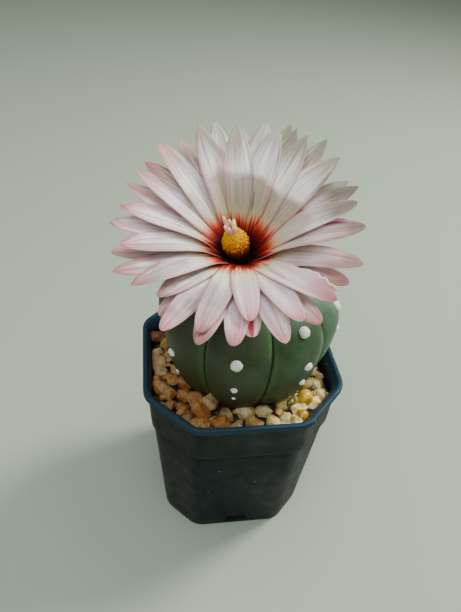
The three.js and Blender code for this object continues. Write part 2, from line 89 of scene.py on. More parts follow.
CUT_PER_INSET = 0.6             # how much shorter a corner's cut gets for each millimetre inward
CORNER_EASE = 3.0               # how far from each corner its rounding starts
CORNER_STEPS = 6
PLASTIC_CREASE = 32             # degrees past which an edge of the pot stays sharp

# Body, with areoles as the latitudes along each rib, counted to the right from the front one
BODY_X = 1.4
BODY_Y = 0.4
EQUATOR = 80.0
BODY_RADIUS = 26.5
CROWN_HEIGHT = 14.0
ROOT_DEPTH = 34.3
CROWN_DIP = 2.2
DIP_RADIUS = 5.0
RIBS = 8
RIB_TURN = -15.4
GROOVE_DEPTH = 0.13
GROOVE_SHARPNESS = 0.5
AREOLES = [
    [52, 41, 7, -14, -22], [60, 31, -4, -16], [50, 20, -6], [58, 34, 10, -12],
    [52, 27, 3, -17], [60, 36, 12, -10], [50, 24, 2], [58, 33, -8, -23],
]
AREOLE_RADII = [(-19, 0.55), (-10, 0.95), (0, 1.25), (90, 1.6)]    # each up to that latitude
FELT_RISE = 0.72                # height of an areole's felt as a share of its radius
FELT_HAIR_LENGTH = (0.08, 0.20)    # range, as shares of the areole's radius
FELT_HAIR_RADII = (0.035, 0.012)    # at the root and at the end
RIB_COLUMNS = 44
SKIN_RIPPLE = 0.12

# Bloom, in a frame whose +Z is its axis, with azimuths in degrees from its front toward its right.
# Each petal is its azimuth and its length. A whorl adds the height and radius of its roots and its own lift.
THROAT = np.array([-3.0, -2.2, 103.8])
BLOOM_TILT = 12.0
BLOOM_HEADING = -12.0
INNER = [
    [-4, 30], [15, 34.3], [29, 35.2], [68, 32.5], [82, 31.1], [112, 32.9], [134, 32], [153, 31.8],
    [178, 31.4], [200, 32.7], [222, 34], [242, 32], [263, 31], [283, 31.9], [304, 34], [337, 34.7],
]
MIDDLE = [
    [8, 36.3], [38, 31.2], [54, 33.1], [75, 30.5], [94, 32.6], [126, 34.5], [143, 33], [161, 33.6],
    [189, 34.2], [210, 32.3], [232, 32.5], [248, 32.9], [269, 33.7], [294, 35.5], [312, 29.5], [324, 36.6],
    [338, 37.1], [350, 35.8],
]
OUTER = [
    [23, 34.7], [46, 31.5], [103, 31.5], [148, 34.4], [175, 33], [218, 33], [257, 32.7], [281, 33.5],
    [317, 32], [357, 32],
]
WHORLS = [(INNER, 1.4, 4.5, 3.5), (MIDDLE, 0.0, 5.25, 0.0), (OUTER, -1.4, 6.0, -3.5)]
PETAL_ROOT_HALF = 0.7
PETAL_TIP_HALF = 0.15
PETAL_WIDEST = 0.74             # share of the length at which the sides stop spreading
PETAL_FALL = 0.60               # share of the length at which the tip's rounding starts
PETAL_RINGS = 27
TORN_RINGS = 110
PETAL_FOLD = 0.22               # depths of the middle fold, of the folds beside it and of the edges' wave
SIDE_FOLDS = 0.07
EDGE_WAVE = 0.28
FUNNEL_LENGTH = 34.0
FUNNEL_COLUMNS = 120
FUNNEL_THICKNESS = 0.3
FUNNEL_WALL = [(3.3, -7.4), (3.95, -4.7)]    # radius and height at both ends of its part inside the cup
TORN_AZIMUTH = 38               # the petal whose back edge is torn away
SCARLET_AZIMUTH = 357           # the petal with a scarlet band toward its tip
VIOLET_AZIMUTH = 68             # the petal with a violet line along its back edge
CUP_DEPTH = 9.2
CUP_RIM = -1.6
TUBE_DEPTH = 12.6
TUBE_RIM = -3.4
BUNDLE_FOOT = -7.6
BUNDLE_TOP = 5.6
BUNDLE_SIDE = 0.7
BUNDLE_LEAN = -15.0
# The core is a dark sheet of painted shade inside the bundle
SHADE_CORE_SHARE = 0.86               # radius of the dark core as a share of the bundle's
STALK_RADII = (0.13, 0.09)      # at the foot and at the top
ANTHER_RADIUS = (0.26, 0.34)    # ranges of half an anther's width and half its length
ANTHER_REACH = (0.40, 0.58)

# Radius and height: the outlines of the stamens and the tube, and the walls of the petals' cup and the tube,
# up the outside and down the inside
BUNDLE_OUTLINE = [(1.4, BUNDLE_FOOT), (2.0, -5), (2.8, -2.5), (3.1, -0.3), (2.7, 1.6), (2.0, 3.4), (1.5, 5),
                  (0.9, 7)]
TUBE_OUTLINE = [(3.8, -TUBE_DEPTH), (5.2, -10.6), (6.4, -7), (7.2, TUBE_RIM), (7.6, 0)]
CUP_WALL = [
    (0.05, -CUP_DEPTH), (2.6, -CUP_DEPTH), (4.6, -CUP_DEPTH + 1.6), (5.9, -4.8), (6.2, -3.6), (5.4, -3.5),
    (4.2, -3.8), (3.8, -4.2), (3.6, -5.2), (3.3, -7.0), (2.4, -CUP_DEPTH + 0.9), (0.05, -CUP_DEPTH + 0.9),
]
TUBE_WALL = [
    (0.05, -TUBE_DEPTH), (3.8, -TUBE_DEPTH), (5.2, -TUBE_DEPTH + 2), (5.9, -8.6), (6.4, -7.0), (6.9, -5.0),
    (7.2, TUBE_RIM), (6.6, TUBE_RIM + 0.1), (6.3, -4.6), (5.3, -7.0), (3.6, -9.4), (0.05, -9.7),
]

# Flower tube: height, number, length and width of the scales in each row
SCALE_ROWS = [(-10.4, 10, 2.9, 1.5), (-8.7, 11, 3.3, 1.7), (-7.0, 12, 3.9, 1.9), (-5.3, 12, 4.8, 2.1),
              (-3.9, 12, 6.2, 2.3)]
TUBE_HAIRS = 1500
TUBE_HAIR_LENGTH = (0.9, 2.4)
TUBE_HAIR_RADII = (0.05, 0.018)    # at the root and at the end

# Stigma: turn and lean in degrees and length of each lobe
LOBES = [(0, 6, 4.8), (45, 12, 4.5), (95, 15, 4.3), (140, 12, 4.9), (178, 3, 6.8), (215, 12, 4.7),
         (258, 15, 4.6), (300, 12, 4.3), (335, 4, 4.9)]
LOBE_RADIUS = 0.48
STYLE_RADIUS = 0.6

# Gravel
GRAVEL_BED = 54.6
STONE_LEVEL = 56.6
STONE_SPACING = 3.8
STONE_TRIES = 6000
STONE_PUSH = (0.70, 1.20)       # range of the distances of a stone's corners from its middle
STONE_SIZE = (2.6, 3.7)
STONE_BREADTH = (0.7, 0.95)     # ranges of the width and the thickness as shares of the size
STONE_FLATNESS = (0.55, 0.8)
STONE_TILT = 0.5                # radians
FILLER_SIZE = (0.9, 1.8)
FILLER_LENGTH = (1, 1.15)       # range of the length as a share of the size
BED_DEPTH = 2.8
STONE_CREASE = 14               # degrees
PLACE_SEED = 20
SHAPE_SEED = 7
WALL_GAP = 0.15
FIRST_SEEN = [0, 11, 5, 1, 7, 10, 9, 4, 2, 6, 8, 3]    # order in which a stone's corners are drawn
STONE_TINTS = np.array([
    [0.86, 0.52, 0.20], [0.74, 0.36, 0.11], [0.88, 0.70, 0.42], [0.90, 0.82, 0.62],
    [0.92, 0.90, 0.76], [0.42, 0.17, 0.09], [0.64, 0.48, 0.28],
])
LEFT_SHARES = np.array([0.30, 0.22, 0.20, 0.08, 0.02, 0.10, 0.08])
RIGHT_SHARES = np.array([0.12, 0.06, 0.18, 0.24, 0.30, 0.06, 0.04])

# Beads: name, radius, place and colour
BEADS = [
    ("amber", 2.4, (18.3, -16.3, 57.4), (0.56, 0.36, 0.018)),
    ("orange", 1.95, (15.9, -22.8, 57.0), (0.40, 0.19, 0.001)),
    ("olive", 1.8, (13.2, -18.1, 57.2), (0.11, 0.105, 0.005)),
    ("back", 2.2, (-15.5, 20.5, 57.4), (0.54, 0.33, 0.04)),
]

# Lamps: name, place and diameter in metres, watts and colour
LAMPS = [
    ("top_lamp", (-0.05, -0.10, 0.95), 0.8, 7.5, (0.95, 1.0, 0.98)),
    ("key_lamp", (0.46, 0.18, 0.58), 0.20, 7.0, (1.0, 0.96, 0.90)),
    ("front_lamp", (-0.30, -0.42, 0.62), 0.5, 2.2, (1.0, 1.0, 0.97)),
]
LAMP_AIM = (0.0, 0.0, 0.08)
SKY_COLOUR = (0.90, 0.96, 0.94, 1.0)
SKY_STRENGTH = 0.22

# Colours that aren't settings
# The lip's own blue-grey with a painted reflection of the sky
LIP_BLUE_AND_REFLECTION = (0.013, 0.037, 0.057)
CORNER_DUST = (0.0130, 0.0135, 0.0105)
# Painted highlight along the step's ledge
LEDGE_HIGHLIGHT = (0.022, 0.028, 0.027)
LEDGE_SHADOW = (0.0012, 0.0022, 0.0026)
FOOT_DUST = (0.05, 0.053, 0.045)
GRIT = (0.34, 0.33, 0.28)
STONE_STAIN = (0.70, 0.50, 0.26)
STONE_VEIN = (0.80, 0.68, 0.40)
STONE_LEFT = (0.42, 0.38, 0.28)
STONE_RIGHT = (0.72, 0.72, 0.50)
STONE_PIT = (0.06, 0.035, 0.02)
# Paler skin at the right: partly its own colour, partly painted light
SKIN_RIGHT_LIT = (0.15, 0.28, 0.20)
# Painted shade where the body meets the gravel
SKIN_FOOT_SHADE = (0.018, 0.017, 0.008)
# Painted highlight on the grooves' lips and painted shade in their creases
GROOVE_EDGE_HIGHLIGHT = (0.10, 0.20, 0.07)
GROOVE_SEAM_SHADE = (0.012, 0.02, 0.008)
SKIN_SCAR = (0.19, 0.15, 0.09)
SKIN_FLECK = (0.34, 0.36, 0.27)
AREOLE_WOOL = (0.97, 0.97, 0.94)
AREOLE_SHADE = (0.84, 0.83, 0.78)
TUBE_WOOL = (0.62, 0.56, 0.42)
TUBE_SHADE = (0.34, 0.27, 0.18)
SCALE_MOTTLE = (0.34, 0.28, 0.16)
# Painted sheen on the left petals
LEFT_PETAL_SHEEN = (0.88, 0.86, 0.82)
LILAC_SHADE = (0.44, 0.34, 0.38)
SUNLIT = (1.0, 0.94, 0.86)
OLIVE_SHADE = (0.27, 0.24, 0.13)
STREAK_PINK = (0.62, 0.40, 0.49)
SEAM_RED = (0.34, 0.08, 0.12)
# Olive-grey tips: partly their own colour, partly painted floor colour seen through them
OLIVE_TIP_SHOW_THROUGH = (0.17, 0.16, 0.11)
TIP_RED = (0.44, 0.09, 0.10)
DUSK = (0.46, 0.46, 0.45)
VEIL = (0.55, 0.51, 0.46)
FRAYED = (0.78, 0.72, 0.55)
SCARLET = (0.30, 0.015, 0.05)
VIOLET = (0.16, 0.035, 0.11)
OUTER_FACE = (0.78, 0.66, 0.63)
OUTER_STRIPE = (0.50, 0.34, 0.30)
OUTER_STREAK = (0.72, 0.58, 0.56)
OUTER_FOOT = (0.05, 0.004, 0.003)
POLLEN = (0.78, 0.52, 0.0)
VELVET = (0.74, 0.48, 0.38)

# Colours along a value, each with its place from 0 to 1
SOIL_TINTS = [(0.3, (0.018, 0.010, 0.005)), (0.6, (0.07, 0.042, 0.020)), (0.8, (0.16, 0.11, 0.055))]
TUBE_TINTS = [(0.3, (0.07, 0.075, 0.03)), (0.55, (0.15, 0.17, 0.06)), (0.75, (0.24, 0.20, 0.10))]
SCALE_TINTS = [(0.0, (0.16, 0.20, 0.07)), (0.45, (0.24, 0.17, 0.08)), (0.75, (0.22, 0.06, 0.04)),
               (1.0, (0.045, 0.018, 0.014))]
THROAT_TINTS = [
    (0.16, (0.010, 0.0008, 0.0012)), (0.205, (0.045, 0.0012, 0.0012)), (0.25, (0.15, 0.003, 0.002)),
    (0.29, (0.30, 0.010, 0.004)), (0.33, (0.50, 0.07, 0.03)), (0.37, (0.58, 0.28, 0.09)),
    (0.42, (0.60, 0.52, 0.26)), (0.52, (0.74, 0.70, 0.52)),
]
CUP_TINTS = [(0.3, (0.010, 0.0008, 0.0010)), (0.7, (0.05, 0.003, 0.003))]
STAMEN_TINTS = [
    (0.30, (0.02, 0.001, 0.001)), (0.44, (0.11, 0.006, 0.002)), (0.56, (0.30, 0.05, 0.002)),
    (0.66, (0.44, 0.12, 0.001)), (0.78, (0.56, 0.24, 0.0)), (1.0, (0.64, 0.37, 0.0)),
]
STIGMA_TINTS = [(0.0, (0.40, 0.05, 0.01)), (0.25, (0.62, 0.26, 0.13)), (0.60, (0.74, 0.50, 0.32)),
                (1.0, (0.84, 0.66, 0.44))]

# Camera, fitted to the pot's rim, step and foot
CAMERA_PLACE = (-0.025382, -0.118666, 0.181768)
CAMERA_HEADING = -10.228
CAMERA_PITCH = 40.010
CAMERA_ROLL = 4.819
CAMERA_LENS = 31.76
SENSOR = 36.0


# Point sets and faces

def full_turn(count):
    """Angles at even steps round a circle."""
    return np.arange(count) / count * 2 * np.pi


def unit(vectors):
    """Vectors brought to a length of one."""
    return vectors / np.linalg.norm(vectors, axis=-1, keepdims=True)


def together(x, y, z):
    """Points from three coordinates, each stretched to the shape of the others."""
    return np.stack(np.broadcast_arrays(x, y, z), axis=-1)


def spread(layers, shape):
    """Layers stretched to one value for each point of a grid."""
    return {key: np.broadcast_to(values, shape).ravel() for key, values in layers.items()}


def sphere(latitude, angle):
    """A unit sphere's points, in rings as wide as the cosine of the latitude and as high as its sine."""
    return together(np.cos(latitude) * np.cos(angle), np.cos(latitude) * np.sin(angle), np.sin(latitude))


def mix(low, high, share):
    """The value that lies at that share of the way from low to high."""
    return low + (high - low) * share


def grid_faces(rows, columns):
    """Quads between neighbouring points of a grid stored row by row, closed round each row."""
    row, column = np.meshgrid(np.arange(rows - 1), np.arange(columns), indexing="ij")
    start = row * columns + column
    beside = row * columns + (column + 1) % columns
    return np.stack([start, beside, beside + columns, start + columns], axis=-1).reshape(-1, 4)


def tube(rings):
    """A closed skin through rings (rows, columns, 3): quads between rows and one flat face at each end."""
    return tubes(rings[None])


def tubes(rings):
    """Closed skins through many sets of rings at once (count, rows, columns, 3)."""
    count, rows, columns = rings.shape[:3]
    start = np.arange(count)[:, None, None] * rows * columns
    first = np.arange(columns)[::-1][None]
    last = (rows - 1) * columns + np.arange(columns)[None]
    blocks = [grid_faces(rows, columns), first, last]
    return rings.reshape(-1, 3), [(start + block[None]).reshape(-1, block.shape[1]) for block in blocks]


def gather(shapes):
    """Several (points, faces) put into one, with each set of faces counted on from the points before it."""
    points = []
    faces = []
    start = 0
    for shape_points, shape_faces in shapes:
        points.append(shape_points)
        faces.extend(block + start for block in shape_faces)
        start += len(shape_points)
    return np.concatenate(points), faces


def strands(paths, radii, sides):
    """Thin tubes along many paths (count, rows, 3): a regular polygon across each path's own direction."""
    direction = unit(np.gradient(paths, axis=1))
    upright = np.abs(direction[:, :1, 2:]) > 0.8
    helper = np.where(upright, [1.0, 0.0, 0.0], [0.0, 0.0, 1.0])
    side = unit(np.cross(direction, np.broadcast_to(helper, direction.shape)))[:, :, None]
    other = np.cross(direction[:, :, None], side)
    angle = full_turn(sides)[:, None]
    across = side * np.cos(angle) + other * np.sin(angle)
    return tubes(paths[:, :, None] + across * radii[:, :, None, None])


def turned(profile, columns):
    """A solid of revolution about +Z through (radius, height) points, counted from the bottom up."""
    radius, height = np.asarray(profile, float).T[..., None]
    angle = full_turn(columns)
    return tube(together(radius * np.cos(angle), radius * np.sin(angle), height))


def bezier(corners, t):
    """A cubic curve: the sum of its four corners weighted by (1-t)^3, 3t(1-t)^2, 3t^2(1-t) and t^3."""
    a, b, c, d = corners
    return (1 - t) ** 3 * a + 3 * t * (1 - t) ** 2 * b + 3 * t ** 2 * (1 - t) * c + t ** 3 * d


def spin(points, degrees, axis="Z"):
    """Points turned about an axis through the origin."""
    turn = np.array(Matrix.Rotation(math.radians(degrees), 3, axis))
    return points @ turn.T


def smoothstep(value, low, high):
    """0 below low, 1 above high, and 3s^2 - 2s^3 between."""
    share = np.clip((value - low) / (high - low), 0, 1)
    return share * share * (3 - 2 * share)


def ripple(points, size, seed):
    # The skin's own olive at the left, darkened by painted shade from the bloom
    """Smooth pseudo-random heights between -1 and 1: the mean of six sine waves in drawn directions."""
    draw = np.random.default_rng(seed)
    heading = unit(draw.normal(size=(6, 3)))
    pitch = draw.uniform(0.6, 1.6, 6) * 2 * np.pi / size
    phase = draw.uniform(0, 2 * np.pi, 6)
    return np.sin((points @ heading.T) * pitch + phase).mean(axis=-1) * 1.7


# Node materials, whose lengths and places are in millimetres like the shapes'

class Finish:
    """A material made of nodes by short calls. Values are numbers, colours or other nodes' outputs."""

    def __init__(self, name, roughness, **constants):
        self.material = bpy.data.materials.new(name)
        self.material.use_nodes = True
        self.tree = self.material.node_tree
        self.shader = self.tree.nodes["Principled BSDF"]
        self.shader.inputs["Roughness"].default_value = roughness
        for socket, value in constants.items():
            self.shader.inputs[socket.replace("_", " ")].default_value = value
        self.place = self.node("ShaderNodeTexCoord").outputs["Object"]
        self.body = None
        self.relief = None

    def node(self, kind, inputs=None, **settings):
        """Adds a node, with values for its inputs by name or number."""
        made = self.tree.nodes.new(kind)
        for name, value in settings.items():
            setattr(made, name, value)
        for key, value in (inputs or {}).items():
            self.feed(made.inputs[key], value)
        return made

    def feed(self, socket, value):
        """Links a socket to another node's output, or sets it."""
        if isinstance(value, bpy.types.NodeSocket):
            self.tree.links.new(value, socket)
        elif isinstance(value, (tuple, list)) and len(value) == 3 and socket.type == "RGBA":
            socket.default_value = (*value, 1.0)
        else:
            socket.default_value = value

    def layer(self, name, output="Fac"):
        """A value or colour that the mesh holds for each point."""
        return self.node("ShaderNodeAttribute", attribute_name=name).outputs[output]

    def coordinate(self, axis):
        """The place along an axis."""
        split = self.node("ShaderNodeSeparateXYZ", {0: self.place})
        return self.times(split.outputs[axis], 1 / MM)

    def noise(self, size, detail=3.0, vector=None, roughness=0.55):
        """Noise with features of about that size, in the vector's own units if one is given."""
        scale = 1 / (size * MM) if vector is None else 1 / size
        inputs = {"Vector": vector or self.place, "Scale": scale, "Detail": detail, "Roughness": roughness}
        return self.node("ShaderNodeTexNoise", inputs).outputs["Fac"]

    def specks(self, spacing, radius, patches, rarity):
        """1 inside small round specks, kept only where a noise of that patch size is above the rarity."""
        cells = self.node("ShaderNodeTexVoronoi", {"Vector": self.place, "Scale": 1 / (spacing * MM)})
        speck = self.math("LESS_THAN", cells.outputs["Distance"], radius)
        return self.times(speck, self.math("GREATER_THAN", self.noise(patches, 2), rarity))

    def math(self, operation, first, second=0.0):
        return self.node("ShaderNodeMath", {0: first, 1: second}, operation=operation).outputs[0]

    def times(self, first, *others):
        for other in others:
            first = self.math("MULTIPLY", first, other)
        return first

    def plus(self, first, second):
        return self.math("ADD", first, second)

    def span(self, value, low, high, start=0.0, end=1.0):
        """Runs from start to end while the value runs from low to high, and stays level past them."""
        inputs = {"Value": value, "From Min": low, "From Max": high, "To Min": start, "To Max": end}
        return self.node("ShaderNodeMapRange", inputs).outputs["Result"]

    def blend(self, share, first, second, kind="MIX"):
        made = self.node("ShaderNodeMix", data_type="RGBA", blend_type=kind)
        self.feed(made.inputs[0], share)
        self.feed(made.inputs[6], first)
        self.feed(made.inputs[7], second)
        return made.outputs[2]

    def ramp(self, value, stops):
        """Colours along a value, from (place, colour) stops."""
        made = self.node("ShaderNodeValToRGB", {"Fac": value})
        band = made.color_ramp
        while len(band.elements) < len(stops):
            band.elements.new(1.0)
        for element, (place, colour) in zip(band.elements, stops):
            element.position = place
            element.color = (*colour, 1.0)
        return made.outputs["Color"]

    def vector(self, x, y, z):
        return self.node("ShaderNodeCombineXYZ", {0: x, 1: y, 2: z}).outputs[0]

    def paint(self, colour, share=1.0, kind="MIX"):
        """Lays a colour over what is there, as thickly as the share says."""
        self.body = colour if self.body is None else self.blend(share, self.body, colour, kind)
        self.feed(self.shader.inputs["Base Color"], self.body)

    def rough(self, value):
        self.feed(self.shader.inputs["Roughness"], value)

    def bump(self, height, depth):
        """Adds relief of that depth on top of what is there."""
        made = self.node("ShaderNodeBump", {"Height": height, "Distance": depth * MM, "Strength": 1.0})
        if self.relief is not None:
            self.tree.links.new(self.relief, made.inputs["Normal"])
        self.relief = made.outputs["Normal"]
        self.tree.links.new(self.relief, self.shader.inputs["Normal"])


def brighter(colour, times, more=0.0):
    """A colour multiplied and raised, held at 1."""
    return tuple(min(1.0, times * part + more) for part in colour)


def moulded_plastic(settings):
    """Blue-black plastic with a bluer lip, partly its own blue-grey and partly a painted sky reflection. A
    painted highlight lies on the step's ledge with painted shade under it, and dust lies on the left corner
    and the foot.
    """
    finish = Finish("moulded_plastic", 0.45, IOR=1.5, Specular_IOR_Level=0.10)
    height = finish.coordinate("Z")
    cloud = finish.noise(14, 4)
    finish.paint(tuple(settings.plastic))
    finish.paint(brighter(settings.plastic, 1.5, 0.001), finish.span(cloud, 0.35, 0.7))
    # The lip's blue: partly the plastic's own blue-grey, partly a painted reflection of the sky
    blue_foot = LIP_EDGE - BLUE_FOOT
    lip = finish.span(height, blue_foot - 0.3, blue_foot + 0.3)
    finish.paint(LIP_BLUE_AND_REFLECTION, lip)
    corner = finish.span(finish.coordinate("X"), -14.5, -16.5)
    dusty = finish.times(corner, finish.span(cloud, 0.3, 0.6, 0.4, 0.9), finish.span(lip, 1, 0))
    finish.paint(CORNER_DUST, dusty)
    wavering = finish.span(finish.noise(6, 2), 0.3, 0.7, -0.2 - STEP_HEIGHT, 0.2 - STEP_HEIGHT)
    over_step = finish.plus(height, wavering)
    # A painted highlight along the step's ledge, and a painted shadow under it
    ledge = finish.times(finish.span(over_step, -0.2, 0.1), finish.span(over_step, 1.3, 0.7))
    finish.paint(LEDGE_HIGHLIGHT, finish.times(ledge, 0.8))
    under = finish.times(finish.span(over_step, -2.3, -0.8), finish.span(over_step, 0.1, -0.2))
    finish.paint(LEDGE_SHADOW, finish.times(under, 0.85))
    finish.paint(FOOT_DUST, finish.span(height, 0, 5, 0.25, 0.0))
    finish.paint(GRIT, finish.times(finish.specks(3.4, 0.085, 9, 0.56), 0.55))
    finish.rough(finish.span(finish.noise(5, 5), 0.3, 0.75, 0.38, 0.56))
    finish.bump(finish.noise(0.7), 0.02)
    finish.bump(finish.noise(11, 1), 0.12)
    return finish.material


def crumbly_soil():
    """Near-black peat with paler crumbs, which stand out."""
    finish = Finish("crumbly_soil", 0.95)
    grain = finish.noise(1.1, 5)
    finish.paint(finish.ramp(grain, SOIL_TINTS))
    finish.bump(grain, 0.5)
    return finish.material


def broken_stone():
    """Each stone's own tint, with browner stains, pale veins and dark pits, and dimmer toward the left."""
    finish = Finish("broken_stone", 0.62)
    tint = finish.layer("tint", "Color")
    stain = finish.noise(2.4, 5)
    finish.paint(finish.blend(1.0, tint, STONE_STAIN, "MULTIPLY"))
    finish.paint(tint, finish.span(stain, 0.42, 0.58))
    finish.paint(STONE_VEIN, finish.span(finish.noise(3), 0.54, 0.66, 0.0, 0.5))
    dimmer = finish.blend(finish.span(finish.coordinate("X"), -16, 14), STONE_LEFT, STONE_RIGHT)
    finish.paint(dimmer, 1.0, "MULTIPLY")
    finish.paint(STONE_PIT, finish.times(finish.math("LESS_THAN", finish.noise(0.5, 2), 0.36), 0.6))
    finish.rough(finish.span(stain, 0.3, 0.7, 0.42, 0.78))
    finish.bump(finish.noise(0.9, 4), 0.16)
    return finish.material


def waxy_skin(settings):
    """Dark green skin, olive at the left under painted shade from the bloom, paler at the right partly as
    painted light, and browner at the left near the gravel, with painted shade where it meets it.
    """
    finish = Finish("waxy_skin", 0.5, Specular_IOR_Level=0.35)
    height = finish.coordinate("Z")
    groove = finish.layer("groove")
    cloud = finish.noise(9, 4)
    mottle = finish.noise(0.8, 4)
    side = finish.plus(finish.coordinate("X"), finish.span(cloud, 0.3, 0.7, -5, 5))
    left = finish.span(side, 10, -4)
    pale = brighter(settings.skin, 1.4, 0.010)
    finish.paint(tuple(settings.skin))
    finish.paint(pale, finish.span(cloud, 0.38, 0.66))
    # Olive skin at the left: partly its own colour, partly painted shade from the bloom above it
    finish.paint(tuple(settings.skin_left_and_shade), finish.span(side, -12, 14, 0.9, 0.0))
    # Paler skin at the right: partly its own colour, partly painted light from that side
    finish.paint(SKIN_RIGHT_LIT, finish.span(side, 15, 27, 0.0, 0.55))
    ageing = finish.span(finish.plus(height, finish.span(cloud, 0.3, 0.7, -4, 4)), 62, 82, 1.0, 0.0)
    finish.paint(tuple(settings.skin_low), finish.times(ageing, left))
    # Painted shade low on the body where it meets the gravel
    finish.paint(SKIN_FOOT_SHADE, finish.times(finish.span(height, 57, 67, 0.75, 0.0), left))
    finish.paint(pale, finish.span(mottle, 0.52, 0.72, 0.0, 0.35))
    # Painted highlight on the groove's lips and painted shade in its crease
    finish.paint(GROOVE_EDGE_HIGHLIGHT, finish.span(groove, 0.70, 0.93, 0.0, 0.45))
    finish.paint(GROOVE_SEAM_SHADE, finish.span(groove, 0.93, 1.0, 0.0, 0.85))
    scar = finish.span(finish.noise(5, 5, roughness=0.7), 0.66, 0.72, 0.0, 0.5)
    finish.paint(SKIN_SCAR, finish.times(scar, ageing))
    finish.paint(SKIN_FLECK, finish.times(finish.specks(1.9, 0.10, 7, 0.60), 0.45))
    finish.rough(finish.span(mottle, 0.3, 0.7, 0.42, 0.60))
    finish.bump(finish.noise(0.35), 0.035)
    finish.bump(finish.noise(4, 2), 0.10)
    return finish.material


def felted_wool(name, shade, shadow):
    """Matted wool with shadows between its tufts."""
    finish = Finish(name, 0.9, Sheen_Weight=0.25, Sheen_Roughness=0.5)
    felt = finish.noise(0.28, 4)
    finish.paint(shadow)
    finish.paint(shade, finish.span(felt, 0.35, 0.62))
    finish.bump(felt, 0.12)
    return finish.material


def tube_skin():
    """Mottled green and tan."""
    finish = Finish("tube_skin", 0.6)
    mottle = finish.noise(0.9, 4)
    finish.paint(finish.ramp(mottle, TUBE_TINTS))
    finish.bump(mottle, 0.1)
    return finish.material


def scale_skin():
    """Each scale runs from green at its foot to dark red-brown at its point."""
    finish = Finish("scale_skin", 0.55)
    finish.paint(finish.ramp(finish.layer("along"), SCALE_TINTS))
    finish.paint(SCALE_MOTTLE, finish.span(finish.noise(0.5), 0.4, 0.7, 0.0, 0.4))
    finish.bump(finish.noise(0.4), 0.05)
    return finish.material


